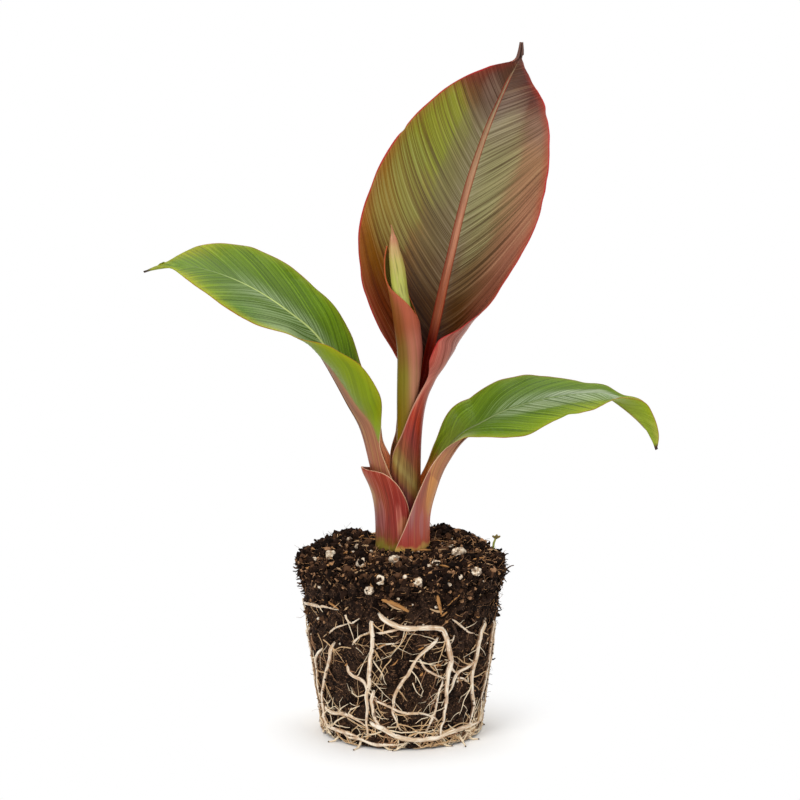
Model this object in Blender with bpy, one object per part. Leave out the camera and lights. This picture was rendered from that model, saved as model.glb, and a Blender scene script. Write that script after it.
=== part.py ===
"""A young red abyssinian banana plant standing on its bare root ball.

Every leaf is one continuous surface. At its foot it is a sheath wrapped round
the stem, higher up a channelled petiole, and beyond that a blade. Each leaf is
described by stations along its midrib. A station gives the midrib point, a
turn of the section about the midrib, and for each half of the section its
width and the angles at which it leaves the midrib and reaches the margin.
The surface is the upper (inner) face of the leaf; its thickness lies outside.

Frame: origin at the centre of the flat underside of the root ball, +Z up,
+X to the right, +Y to the back. Station lengths are in millimetres.
"""

import math

import bpy
import numpy as np

MM = 0.001

# ------------------------------------------------------------ main sizes (mm)
BALL_RIM_RADIUS = 50.7      # root ball at its upper rim
BALL_FOOT_RADIUS = 39.0     # root ball at its flat underside
BALL_RIM_HEIGHT = 87.0
SOIL_TOP = 93.6             # soil at the foot of the stem
STEM_FOOT = 94.0            # level at which every sheath is cut flat
JOINT_GAP = 0.5             # clear gap between two pieces of one leaf
SHEATH_EDGE = 0.7           # thickness of a sheath at its margin
BLADE_EDGE = 1.1            # thickness of a blade at its margin

# Stations: x, y, z, turn,
#           near half: width, angle at the midrib, angle at the margin,
#           far half:  width, angle at the midrib, angle at the margin,
#           thickness at the keel, half-width of the keel.
# Near is the half towards -Y (of the tall leaf: the half towards +X).
RIGHT_LEAF = [
    (12.5, 0, 94, 0, 23, 0, 108, 23, 0, 108, 1.3, 20),
    (12.5, 0, 109, 0, 16, 0, 77, 17, 0, 88, 1.5, 14),
    (15, 0, 123, 0, 11.5, 0, 68, 12, 0, 78, 2.4, 10),
    (18, -0.5, 133, 0, 8.5, 0, 64, 9.5, 5, 70, 3.0, 8),
    (22, -1, 141, 0, 7, 5, 40, 10, 20, 66, 3.4, 7),
    (30.5, -2, 151, 0, 9, 3, -12, 15.5, 34, 64, 3.0, 5),
    (38, -3, 155.5, 0, 15, -5, -20, 20, 20, 45, 2.6, 4),
    (48.5, -4, 161.5, 0, 21, -15, -36, 22, 23, 43, 2.3, 3.5),
    (60.5, -5, 166, 0, 24, -20, -35, 23, 17, 35, 2.0, 3),
    (76, -7, 170, 0, 20, -17, -27, 22, 6, 19, 1.8, 3),
    (92, -9, 172, 0, 17, -13, -26, 19, -3, 12, 1.6, 3),
    (100, -10, 171.5, 0, 15, -16, -14, 16, -2, 13, 1.4, 3),
    (106, -11, 168, 0, 13, 18, 23, 13, 10, 18, 1.3, 3),
    (115, -12, 160.5, 0, 10, 54, 62, 10, 40, 50, 1.2, 2),
    (121.5, -12, 152.5, 0, 6, 42, 52, 6, 35, 45, 1.1, 2),
    (124.5, -12, 144.5, 0, 0.5, 40, 50, 0.5, 40, 45, 0.8, 1),
]
LEFT_LEAF = [
    (-8, 0.5, 94, 0, 12.5, 0, 84, 13.5, 0, 92, 1.3, 12),
    (-8.6, 0.5, 107, 0, 12.5, 0, 84, 13.5, 0, 92, 1.4, 12),
    (-9.8, 0.8, 120, 0, 12.5, 0, 84, 13.5, 0, 92, 1.8, 11),
    (-12.7, 1, 133.5, 0, 10.5, 0, 73, 12, 0, 98, 2.5, 9),
    (-14.6, 1, 143, 0, 9, 0, 62, 11, 0, 68, 2.8, 8),
    (-17.5, 1.5, 154, 0, 13, 0, 88, 11, 20, 55, 3.2, 8),
    (-23, 2, 167, 0, 24, -15, 98, 15, 20, 45, 4.4, 8),
    (-29.3, 3, 179.6, 0, 26.5, -25, 90, 20, 18, 36, 4.8, 8),
    (-36.5, 4, 191.7, 0, 27, -42, 70, 24, 18, 42, 5.0, 7),
    (-44, 4.5, 201, 0, 24, -36, 24, 26, 20, 44, 4.4, 6),
    (-52, 5, 207.6, 0, 24.5, -22, -6, 27, 20, 43, 3.2, 5),
    (-64.5, 6, 216.5, 0, 26, -20, -30, 29, 20, 43, 2.2, 3.5),
    (-79, 7, 224.5, 0, 24, -20, -35, 28, 22, 42, 1.9, 3),
    (-94, 8, 230, 0, 18, -18, -33, 22, 22, 42, 1.6, 3),
    (-106, 9, 232.3, 0, 11, -13, -23, 15, 19, 36, 1.4, 3),
    (-115.5, 10, 232, 0, 4, 0, -5, 7, 18, 25, 1.2, 2),
    (-126.7, 11, 229.3, 0, 0.5, 0, 0, 0.5, 0, 0, 0.8, 1),
]
TALL_LEAF = [
    (7, 4.6, 94, 50, 23, 0, 194, 16.5, 0, 139, 1.0, 10),
    (7, 4.6, 110, 50, 23, 0, 194, 16.5, 0, 139, 1.0, 10),
    (7, 4.6, 137, 50, 23.5, 0, 196, 17, 0, 138, 1.2, 10),
    (6.8, 5.2, 151, 40, 18.5, 0, 157, 10.4, 0, 88, 1.5, 9),
    (7.7, 6.2, 161.7, 35, 16.5, 0, 138, 10, 0, 85, 1.8, 8),
    (9.3, 7.3, 170, 28, 15.5, 0, 128, 8.5, 0, 60, 2.0, 8),
    (10.8, 8.7, 175.5, 18, 16.5, 0, 135, 9.5, 0, 40, 2.1, 8),
    (12.8, 10.8, 185, 8, 29, 0, 163, 17, 0, 20, 2.3, 6),
    (14.8, 12.5, 194, 0, 34.5, 0, 172, 27, 0, 22, 2.4, 5),
    (17.2, 14, 204.5, 0, 36.5, 8, 128, 35, 0, 25, 2.4, 4),
    (20.2, 16, 218, 0, 40, 22, 86, 43, 2, 26, 2.3, 3.5),
    (25.2, 20, 239, 0, 46.5, 28, 69, 50, 5, 28, 2.2, 3.2),
    (30.6, 24, 261, 0, 49.5, 30, 60, 48.5, 6, 26, 2.0, 3),
    (36.8, 28, 281.6, 0, 46, 30, 56, 42.5, 6, 24, 1.8, 2.5),
    (43.6, 31, 300.6, 0, 38, 26, 50, 31.5, 4, 20, 1.6, 2.5),
    (50, 33, 315.2, 0, 26, 20, 45, 20, 0, 18, 1.5, 2.5),
    (54, 34, 323.5, 0, 15.5, 16, 40, 10.5, 0, 15, 1.4, 2),
    (58, 34.5, 331.5, 0, 4.5, 5, 15, 3, 0, 15, 1.3, 2),
    (59, 35, 339.5, 0, 0.5, 0, 0, 0.5, 0, 0, 0.8, 1),
]
OUTER_SHEATH = [
    (-11.9, 0, 94, 0, 23.5, 0, 131, 23, 0, 128, 0.9, 15),
    (-12.1, 0, 105, 0, 23, 0, 128, 22.5, 0, 126, 0.9, 15),
    (-12.4, 0, 112, 0, 22.5, 0, 123, 20.5, 0, 112, 1.0, 14),
    (-13.7, 0, 120, 0, 20.3, 0, 110, 16.5, 0, 93, 1.1, 12),
    (-15.7, 0, 126, 0, 16.6, 0, 93, 13.2, 0, 80, 1.2, 10),
    (-17.8, 0, 130.3, 0, 11, 0, 70, 7.8, 0, 56, 1.2, 7),
    (-19.3, 0, 133.5, 0, 0.5, 0, 20, 0.5, 0, 20, 0.8, 2),
]
ROLLED_LEAF = [
    (-3.2, 0, 94, 0, 13.5, 0, 180, 12.5, 0, 168, 0.8, 6),
    (-3, 0, 110, 0, 13.5, 0, 180, 12.5, 0, 168, 0.8, 6),
    (-1.6, 0, 147, 0, 13.8, 0, 180, 12.9, 0, 168, 0.8, 6),
    (-1.5, 0, 167, 0, 15, 0, 180, 14, 0, 168, 0.8, 6),
    (-1.3, 0, 182, 0, 16.5, 0, 180, 15.5, 0, 168, 0.8, 6),
    (-1.5, 0, 193, 0, 18, 0, 178, 17, 0, 168, 0.8, 6),
    (-2.7, 0, 202, 0, 18, 0, 172, 17, 0, 165, 0.8, 6),
    (-3.9, 0.2, 211, 0, 13, 0, 129, 14, 0, 145, 0.8, 5),
    (-5.1, 0.4, 218, 0, 7.5, 0, 80, 11.5, 0, 130, 0.8, 4),
    (-6.2, 0.6, 223, 0, 2.8, 0, 30, 10, 0, 115, 0.8, 3),
    (-7.3, 0.8, 227, 0, 0.5, 0, 8, 9, 0, 105, 0.7, 2),
    (-7.8, 1, 232, 0, 0.5, 0, 8, 7.5, 0, 90, 0.7, 2),
    (-7.7, 1.2, 237.5, 0, 0.5, 0, 8, 5, 0, 70, 0.6, 2),
    (-6.8, 1.4, 243, 0, 0.5, 0, 8, 1, 0, 30, 0.6, 1),
]
# The furled spear in the middle: x, y, z, radius.
SPEAR = [
    (1, 0, 94, 3.5),
    (1.2, 0, 110, 3.6),
    (2.8, 0, 147, 3.8),
    (3.2, 0, 167, 4.1),
    (3.8, 0, 182, 4.6),
    (3.8, 0, 193, 4.8),
    (2.7, 0, 201, 4.7),
    (0.8, 0, 212, 4.1),
    (-1, 0.1, 224, 4.0),
    (-1.8, 0.2, 231.5, 3.9),
    (-2.6, 0.3, 236.5, 3.5),
    (-3.4, 0.4, 242, 2.6),
    (-3.8, 0.5, 246.5, 1.9),
    (-4.3, 0.6, 250, 0.8),
    (-5, 0.6, 253.5, 0.3),
]


# ------------------------------------------------------------------ curves
def through(x, y, t):
    """Natural cubic spline through the rows y at x."""
    x, y = np.asarray(x, float), np.asarray(y, float)
    n, h = len(x), np.diff(x)
    a, b = np.zeros((n, n)), np.zeros_like(y)
    a[0, 0] = a[-1, -1] = 1
    for i in range(1, n - 1):
        a[i, i - 1], a[i, i], a[i, i + 1] = h[i - 1], 2 * (h[i - 1] + h[i]), h[i]
        b[i] = 6 * ((y[i + 1] - y[i]) / h[i] - (y[i] - y[i - 1]) / h[i - 1])
    m = np.linalg.solve(a, b)
    t = np.clip(t, x[0], x[-1])
    k = np.clip(np.searchsorted(x, t, side="right") - 1, 0, n - 2)
    hk, p, q = h[k][:, None], (x[k + 1] - t)[:, None], (t - x[k])[:, None]
    return (
        (m[k] * p**3 + m[k + 1] * q**3) / (6 * hk)
        + (y[k] / hk - m[k] * hk / 6) * p
        + (y[k + 1] / hk - m[k + 1] * hk / 6) * q
    )


def steady(x, y, t):
    """Cubic through the rows y at x that never overshoots them."""
    x, y = np.asarray(x, float), np.asarray(y, float)
    h = np.diff(x)[:, None]
    d = np.diff(y, axis=0) / h
    m = np.zeros_like(y)
    m[0], m[-1] = d[0], d[-1]
    w1, w2 = 2 * h[1:] + h[:-1], h[1:] + 2 * h[:-1]
    same = d[:-1] * d[1:] > 0
    a, b = np.where(same, d[:-1], 1), np.where(same, d[1:], 1)
    m[1:-1] = np.where(same, (w1 + w2) / (w1 / a + w2 / b), 0)
    t = np.clip(t, x[0], x[-1])
    k = np.clip(np.searchsorted(x, t, side="right") - 1, 0, len(x) - 2)
    hk, s = (x[k + 1] - x[k])[:, None], ((t - x[k]) / (x[k + 1] - x[k]))[:, None]
    return (
        (1 + 2 * s) * (1 - s) ** 2 * y[k]
        + s * (1 - s) ** 2 * hk * m[k]
        + s * s * (3 - 2 * s) * y[k + 1]
        + s * s * (s - 1) * hk * m[k + 1]
    )


class Leaf:
    """A leaf surface over u (0 foot, 1 tip) and v (-1 far margin, 1 near margin)."""

    def __init__(self, rows, side):
        self.rows, self.side = np.asarray(rows, float), side
        steps = np.linalg.norm(np.diff(self.rows[:, :3], axis=0), axis=1)
        self.t = np.r_[0, np.cumsum(steps)]
        self.length = self.t[-1]

    def at(self, station):
        """u of a station; a fraction lies between two stations."""
        return float(np.interp(station, np.arange(len(self.t)), self.t)) / self.length

    def rib(self, u):
        return through(self.t, self.rows[:, :3], u * self.length)

    def frame(self, u):
        e = 1e-3
        tangent = self.rib(np.clip(u + e, 0, 1)) - self.rib(np.clip(u - e, 0, 1))
        tangent /= np.linalg.norm(tangent, axis=1)[:, None]
        back = np.tile([0.0, 1.0, 0.0], (len(u), 1))
        if self.side == "left":
            up = np.cross(back, tangent)
        elif self.side == "right":
            up = np.cross(tangent, back)
        else:
            up = -back + tangent * (back * tangent).sum(1)[:, None]
        up /= np.linalg.norm(up, axis=1)[:, None]
        across = np.cross(up, tangent)
        if self.side == "right" or (self.side == "tall" and across[-1, 0] < 0):
            across = -across
        turn = np.radians(through(self.t, self.rows[:, 3:4], u * self.length))
        return (
            across * np.cos(turn) + up * np.sin(turn),
            up * np.cos(turn) - across * np.sin(turn),
        )

    def surface(self, u, v):
        """Points (u, v) of the upper face and the thickness there."""
        rib, (across, up) = self.rib(u), self.frame(u)
        table = steady(self.t, self.rows[:, 4:12], u * self.length)
        points = np.zeros((len(u), len(v), 3))
        thick = np.zeros((len(u), len(v), 2))
        for j, x in enumerate(v):
            near = x >= 0
            w, a0, a1 = table[:, :3].T if near else table[:, 3:6].T
            a0, a1 = np.radians(a0), np.radians(a1)
            d = np.where(abs(a1 - a0) < 1e-4, 1e-4, a1 - a0)
            a = a0 + d * abs(x)
            side = w / d * (np.sin(a) - np.sin(a0)) * (1 if near else -1)
            rise = w / d * (np.cos(a0) - np.cos(a))
            points[:, j] = rib + side[:, None] * across + rise[:, None] * up
            off = np.clip(abs(x) * w / table[:, 7], 0, 1)
            thick[:, j, 0] = table[:, 6]
            thick[:, j, 1] = (1 - off**2) ** 2
        return points, thick, up


def spread(count, pull):
    """count cells each side of the midrib, drawn towards it by pull."""
    s = np.linspace(0, 1, count + 1) ** pull
    return np.r_[-s[:0:-1], s]


# ------------------------------------------------------------------ objects
for old in list(bpy.data.objects):
    bpy.data.objects.remove(old, do_unlink=True)
bpy.context.scene.unit_settings.scale_length = 1.0


def colour(name, rgb, rough):
    made = bpy.data.materials.new(name)
    made.use_nodes = True
    shader = made.node_tree.nodes["Principled BSDF"]
    shader.inputs["Base Color"].default_value = (*rgb, 1)
    shader.inputs["Roughness"].default_value = rough
    return made


def solid(name, points, faces, rgb, rough=0.5):
    mesh = bpy.data.meshes.new(name)
    mesh.from_pydata([tuple(p) for p in np.asarray(points) * MM], [], faces)
    mesh.materials.append(colour(name, rgb, rough))
    mesh.update()
    mesh.shade_smooth()
    mesh.set_sharp_from_angle(angle=math.radians(50))
    made = bpy.data.objects.new(name, mesh)
    bpy.context.scene.collection.objects.link(made)
    return made


def blade(name, leaf, start, end, along, across, edge, rgb, pull=1.3):
    """The stretch of a leaf between two stations as a closed thin solid."""
    half_gap = JOINT_GAP / 2 / leaf.length
    u = np.array([leaf.at(s) for s in np.linspace(start, end, along + 1)])
    u[0] += half_gap if start > 0 else 0
    u[-1] -= half_gap if u[-1] < 1 else 0
    v = spread(across, pull)
    top, thick, up = leaf.surface(u, v)
    du = np.gradient(top, u, axis=0)
    dv = np.gradient(top, v, axis=1)
    normal = np.cross(du, dv)
    normal /= np.linalg.norm(normal, axis=2)[:, :, None]
    middle = across
    if (normal[:, middle] * up).sum() < 0:
        normal = -normal
    keel = thick[:, :, 0]
    depth = np.minimum(edge, keel) + np.maximum(keel - edge, 0) * thick[:, :, 1]
    under = top - normal * depth[:, :, None]
    if start == 0:
        for face in (top, under):
            face[0, :, 2] = STEM_FOOT
            face[1:, :, 2] = np.maximum(face[1:, :, 2], STEM_FOOT + 1)
    rows, cols = len(u), len(v)
    count = rows * cols
    faces = []

    def cell(a, b, c, d):
        faces.append((a, b, c, d))

    for i in range(rows - 1):
        for j in range(cols - 1):
            a, b = i * cols + j, (i + 1) * cols + j
            cell(a, a + 1, b + 1, b)
            cell(count + b, count + b + 1, count + a + 1, count + a)
        for j, flip in ((0, False), (cols - 1, True)):
            a, b = i * cols + j, (i + 1) * cols + j
            ring = (a, b, count + b, count + a)
            cell(*(ring[::-1] if flip else ring))
    for j in range(cols - 1):
        for i, flip in ((0, True), (rows - 1, False)):
            a = i * cols + j
            ring = (a, a + 1, count + a + 1, count + a)
            cell(*(ring[::-1] if flip else ring))
    points = np.concatenate([top.reshape(-1, 3), under.reshape(-1, 3)])
    return solid(name, points, outward(points, faces), rgb)


def outward(points, faces):
    """The faces turned so that they all look out of the closed solid."""
    volume = 0.0
    for face in faces:
        a = points[face[0]]
        for k in range(1, len(face) - 1):
            volume += np.dot(a, np.cross(points[face[k]], points[face[k + 1]]))
    return faces if volume > 0 else [face[::-1] for face in faces]


def turned(name, rings, sides, rgb, rough=0.5):
    """Rings of points from the bottom up, closed by a fan at each end."""
    points = np.concatenate([np.asarray(r, float) for r in rings])
    faces = []
    for i in range(len(rings) - 1):
        for k in range(sides):
            a, b = i * sides + k, i * sides + (k + 1) % sides
            faces.append((a, b, b + sides, a + sides))
    low, high = len(points), len(points) + 1
    points = np.concatenate([points, [rings[0].mean(0)], [rings[-1].mean(0)]])
    last = (len(rings) - 1) * sides
    for k in range(sides):
        faces.append((low, (k + 1) % sides, k))
        faces.append((high, last + k, last + (k + 1) % sides))
    return solid(name, points, outward(points, faces), rgb, rough)


# ---------------------------------------------------------------- root ball
def root_ball():
    """A tapered plug of peat and roots, lumpy on its side, flat underneath."""
    sides = 44
    angle = np.linspace(0, 2 * math.pi, sides, endpoint=False)
    # radius share of the wall line, height, lumpiness
    profile = [(0.96, 0, 0.0), (1.0, 1.6, 0.3)]
    profile += [(1.0, z, 1.0) for z in np.linspace(10, BALL_RIM_HEIGHT - 6, 8)]
    profile += [(0.995, BALL_RIM_HEIGHT - 1.5, 0.8), (0.95, BALL_RIM_HEIGHT + 0.5, 0.3)]
    rings = []
    for share, z, lumps in profile:
        wall = BALL_FOOT_RADIUS + (BALL_RIM_RADIUS - BALL_FOOT_RADIUS) * min(
            z / BALL_RIM_HEIGHT, 1
        )
        wave = (
            0.5 * np.sin(3 * angle + z / 9)
            + 0.4 * np.sin(7 * angle - z / 6 + 1)
            + 0.3 * np.sin(11 * angle + z / 4 + 2)
        )
        r = (wall - 0.2) * share + 0.6 * lumps * wave
        rings.append(np.stack([r * np.cos(angle), r * np.sin(angle), 0 * r + z], 1))
    for r, z in ((39, 89.2), (27, 91.2), (17, SOIL_TOP)):
        lift = 0 if r < 20 else 0.4 * np.sin(5 * angle + r)
        rings.append(
            np.stack([r * np.cos(angle), r * np.sin(angle), 0 * angle + z + lift], 1)
        )
    return turned("root_ball", rings, sides, (0.035, 0.02, 0.012), 0.9)


def spear():
    """The furled central leaf, a slim cone with a drawn-out tip."""
    table = np.asarray(SPEAR, float)
    t = np.r_[0, np.cumsum(np.linalg.norm(np.diff(table[:, :3], axis=0), axis=1))]
    sides = 12
    angle = np.linspace(0, 2 * math.pi, sides, endpoint=False)
    rings = []
    for x, y, z, r in steady(t, table, t):
        rings.append(
            np.stack([x + r * np.cos(angle), y + r * np.sin(angle), 0 * angle + z], 1)
        )
    return turned("spear_leaf", rings, sides, (0.36, 0.42, 0.08))


GREEN, RED, MAROON = (0.10, 0.20, 0.03), (0.26, 0.07, 0.035), (0.16, 0.05, 0.035)

right, left = Leaf(RIGHT_LEAF, "right"), Leaf(LEFT_LEAF, "left")
tall, outer, roll = (
    Leaf(TALL_LEAF, "tall"),
    Leaf(OUTER_SHEATH, "left"),
    Leaf(ROLLED_LEAF, "left"),
)

root_ball()
blade("outer_sheath", outer, 0, 6, 9, 7, SHEATH_EDGE, MAROON, 1.0)
blade("right_leaf_sheath", right, 0, 5.5, 11, 7, SHEATH_EDGE, RED, 1.1)
blade("right_leaf_blade", right, 5.5, 12, 15, 6, BLADE_EDGE, GREEN, 1.5)
blade("right_leaf_tip", right, 12, 15, 7, 4, BLADE_EDGE, GREEN, 1.3)
blade("left_leaf_sheath", left, 0, 4.5, 9, 6, SHEATH_EDGE, RED, 1.1)
blade("left_leaf_base", left, 4.5, 9.5, 12, 7, BLADE_EDGE, GREEN, 1.3)
blade("left_leaf_blade", left, 9.5, 16, 15, 5, BLADE_EDGE, GREEN, 1.5)
blade("tall_leaf_sheath", tall, 0, 5, 10, 8, SHEATH_EDGE, RED, 1.0)
blade("tall_leaf_blade", tall, 5, 18, 26, 8, BLADE_EDGE, MAROON, 1.3)
blade("rolled_leaf", roll, 0, 13, 18, 8, 0.6, (0.2, 0.16, 0.05), 1.0)
spear()
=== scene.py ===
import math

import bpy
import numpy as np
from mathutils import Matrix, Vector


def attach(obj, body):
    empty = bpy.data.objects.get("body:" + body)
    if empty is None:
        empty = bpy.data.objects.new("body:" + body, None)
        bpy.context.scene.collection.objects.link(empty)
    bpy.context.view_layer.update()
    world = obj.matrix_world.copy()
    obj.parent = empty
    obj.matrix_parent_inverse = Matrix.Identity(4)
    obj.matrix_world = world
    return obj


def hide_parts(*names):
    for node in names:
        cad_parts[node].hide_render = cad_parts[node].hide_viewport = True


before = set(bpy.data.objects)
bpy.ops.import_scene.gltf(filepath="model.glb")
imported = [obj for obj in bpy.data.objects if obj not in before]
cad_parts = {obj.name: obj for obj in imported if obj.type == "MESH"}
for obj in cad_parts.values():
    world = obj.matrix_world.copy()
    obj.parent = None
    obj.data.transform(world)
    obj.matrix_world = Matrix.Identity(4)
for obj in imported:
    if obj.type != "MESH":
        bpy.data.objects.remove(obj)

# The looks of a young red abyssinian banana plant on its bare root ball.
# Each leaf is one thin sheet worked out from a few stations along its midrib;
# veins, pleats, midrib channel, margins and dried tips are shaped on it by
# rule. The root ball is a plug of peat with crumbs, clods, fibres, perlite,
# bark and roots dealt out by seeded rules. Lengths are in millimetres here
# and become metres when a mesh is made.

# Stations: x, y, z, turn,
#           near half: width, angle at the midrib, angle at the margin,
#           far half:  width, angle at the midrib, angle at the margin,
#           thickness at the keel, half-width of the keel.
# Near is the half towards -Y (of the tall leaf: the half towards +X).
RIGHT_LEAF = [
    (12.5, 0, 94, 0, 23, 0, 108, 23, 0, 108, 1.3, 20),
    (12.5, 0, 109, 0, 16, 0, 77, 17, 0, 88, 1.5, 14),
    (15, 0, 123, 0, 11.5, 0, 68, 12, 0, 78, 2.4, 10),
    (18, -0.5, 133, 0, 8.5, 0, 64, 9.5, 5, 70, 3.0, 8),
    (22, -1, 141, 0, 7, 5, 40, 10, 20, 66, 3.4, 7),
    (30.5, -2, 151, 0, 9, 3, -12, 15.5, 34, 64, 3.0, 5),
    (38, -3, 155.5, 0, 15, -5, -20, 20, 20, 45, 2.6, 4),
    (48.5, -4, 161.5, 0, 21, -15, -36, 22, 23, 43, 2.3, 3.5),
    (60.5, -5, 166, 0, 24, -20, -35, 23, 17, 35, 2.0, 3),
    (76, -7, 170, 0, 20, -17, -27, 22, 6, 19, 1.8, 3),
    (92, -9, 172, 0, 17, -13, -26, 19, -3, 12, 1.6, 3),
    (100, -10, 171.5, 0, 15, -16, -14, 16, -2, 13, 1.4, 3),
    (106, -11, 168, 0, 13, 18, 23, 13, 10, 18, 1.3, 3),
    (115, -12, 160.5, 0, 10, 54, 62, 10, 40, 50, 1.2, 2),
    (121.5, -12, 152.5, 0, 6, 42, 52, 6, 35, 45, 1.1, 2),
    (124.5, -12, 144.5, 0, 0.5, 40, 50, 0.5, 40, 45, 0.8, 1),
]
LEFT_LEAF = [
    (-8, 0.5, 94, 0, 12.5, 0, 84, 13.5, 0, 92, 1.3, 12),
    (-8.6, 0.5, 107, 0, 12.5, 0, 84, 13.5, 0, 92, 1.4, 12),
    (-9.8, 0.8, 120, 0, 12.5, 0, 84, 13.5, 0, 92, 1.8, 11),
    (-12.7, 1, 133.5, 0, 10.5, 0, 73, 12, 0, 98, 2.5, 9),
    (-14.6, 1, 143, 0, 9, 0, 62, 11, 0, 68, 2.8, 8),
    (-17.5, 1.5, 154, 0, 13, 0, 88, 11, 20, 55, 3.2, 8),
    (-23, 2, 167, 0, 24, -15, 98, 15, 20, 45, 4.4, 8),
    (-29.3, 3, 179.6, 0, 26.5, -25, 90, 20, 18, 36, 4.8, 8),
    (-36.5, 4, 191.7, 0, 27, -42, 70, 24, 18, 42, 5.0, 7),
    (-44, 4.5, 201, 0, 24, -36, 24, 26, 20, 44, 4.4, 6),
    (-52, 5, 207.6, 0, 24.5, -22, -6, 27, 20, 43, 3.2, 5),
    (-64.5, 6, 216.5, 0, 26, -20, -30, 29, 20, 43, 2.2, 3.5),
    (-79, 7, 224.5, 0, 24, -20, -35, 28, 22, 42, 1.9, 3),
    (-94, 8, 230, 0, 18, -18, -33, 22, 22, 42, 1.6, 3),
    (-106, 9, 232.3, 0, 11, -13, -23, 15, 19, 36, 1.4, 3),
    (-115.5, 10, 232, 0, 4, 0, -5, 7, 18, 25, 1.2, 2),
    (-126.7, 11, 229.3, 0, 0.5, 0, 0, 0.5, 0, 0, 0.8, 1),
]
TALL_LEAF = [
    (7, 4.6, 94, 50, 23, 0, 194, 16.5, 0, 139, 1.0, 10),
    (7, 4.6, 110, 50, 23, 0, 194, 16.5, 0, 139, 1.0, 10),
    (7, 4.6, 137, 50, 23.5, 0, 196, 17, 0, 138, 1.2, 10),
    (6.8, 5.2, 151, 40, 18.5, 0, 157, 10.4, 0, 88, 1.5, 9),
    (7.7, 6.2, 161.7, 35, 16.5, 0, 138, 10, 0, 85, 1.8, 8),
    (9.3, 7.3, 170, 28, 15.5, 0, 128, 8.5, 0, 60, 2.0, 8),
    (10.8, 8.7, 175.5, 18, 16.5, 0, 135, 9.5, 0, 40, 2.1, 8),
    (12.8, 10.8, 185, 8, 29, 0, 163, 17, 0, 20, 2.3, 6),
    (14.8, 12.5, 194, 0, 34.5, 0, 172, 27, 0, 22, 2.4, 5),
    (17.2, 14, 204.5, 0, 36.5, 8, 128, 35, 0, 25, 2.4, 4),
    (20.2, 16, 218, 0, 40, 22, 86, 43, 2, 26, 2.3, 3.5),
    (25.2, 20, 239, 0, 46.5, 28, 69, 50, 5, 28, 2.2, 3.2),
    (30.6, 24, 261, 0, 49.5, 30, 60, 48.5, 6, 26, 2.0, 3),
    (36.8, 28, 281.6, 0, 46, 30, 56, 42.5, 6, 24, 1.8, 2.5),
    (43.6, 31, 300.6, 0, 38, 26, 50, 31.5, 4, 20, 1.6, 2.5),
    (50, 33, 315.2, 0, 26, 20, 45, 20, 0, 18, 1.5, 2.5),
    (54, 34, 323.5, 0, 15.5, 16, 40, 10.5, 0, 15, 1.4, 2),
    (58, 34.5, 331.5, 0, 4.5, 5, 15, 3, 0, 15, 1.3, 2),
    (59, 35, 339.5, 0, 0.5, 0, 0, 0.5, 0, 0, 0.8, 1),
]
OUTER_SHEATH = [
    (-11.9, 0, 94, 0, 23.5, 0, 131, 23, 0, 128, 0.9, 15),
    (-12.1, 0, 105, 0, 23, 0, 128, 22.5, 0, 126, 0.9, 15),
    (-12.4, 0, 112, 0, 22.5, 0, 123, 20.5, 0, 112, 1.0, 14),
    (-13.7, 0, 120, 0, 20.3, 0, 110, 16.5, 0, 93, 1.1, 12),
    (-15.7, 0, 126, 0, 16.6, 0, 93, 13.2, 0, 80, 1.2, 10),
    (-17.8, 0, 130.3, 0, 11, 0, 70, 7.8, 0, 56, 1.2, 7),
    (-19.3, 0, 133.5, 0, 0.5, 0, 20, 0.5, 0, 20, 0.8, 2),
]
ROLLED_LEAF = [
    (-3.2, 0, 94, 0, 13.5, 0, 180, 12.5, 0, 168, 0.8, 6),
    (-3, 0, 110, 0, 13.5, 0, 180, 12.5, 0, 168, 0.8, 6),
    (-1.6, 0, 147, 0, 13.8, 0, 180, 12.9, 0, 168, 0.8, 6),
    (-1.5, 0, 167, 0, 15, 0, 180, 14, 0, 168, 0.8, 6),
    (-1.3, 0, 182, 0, 16.5, 0, 180, 15.5, 0, 168, 0.8, 6),
    (-1.5, 0, 193, 0, 18, 0, 178, 17, 0, 168, 0.8, 6),
    (-2.7, 0, 202, 0, 18, 0, 172, 17, 0, 165, 0.8, 6),
    (-3.9, 0.2, 211, 0, 13, 0, 129, 14, 0, 145, 0.8, 5),
    (-5.1, 0.4, 218, 0, 7.5, 0, 80, 11.5, 0, 130, 0.8, 4),
    (-6.2, 0.6, 223, 0, 2.8, 0, 30, 10, 0, 115, 0.8, 3),
    (-7.3, 0.8, 227, 0, 0.5, 0, 8, 9, 0, 105, 0.7, 2),
    (-7.8, 1, 232, 0, 0.5, 0, 8, 7.5, 0, 90, 0.7, 2),
    (-7.7, 1.2, 237.5, 0, 0.5, 0, 8, 5, 0, 70, 0.6, 2),
    (-6.8, 1.4, 243, 0, 0.5, 0, 8, 1, 0, 30, 0.6, 1),
]
# The furled spear in the middle: x, y, z, radius.
SPEAR = [
    (1, 0, 94, 3.5),
    (1.2, 0, 110, 3.6),
    (2.8, 0, 147, 3.8),
    (3.2, 0, 167, 4.1),
    (3.8, 0, 182, 4.6),
    (3.8, 0, 193, 4.8),
    (2.7, 0, 201, 4.7),
    (0.8, 0, 212, 4.1),
    (-1, 0.1, 224, 4.0),
    (-1.8, 0.2, 231.5, 3.9),
    (-2.6, 0.3, 236.5, 3.5),
    (-3.4, 0.4, 242, 2.6),
    (-3.8, 0.5, 246.5, 1.9),
    (-4.3, 0.6, 250, 0.8),
    (-5, 0.6, 253.5, 0.3),
]


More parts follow.
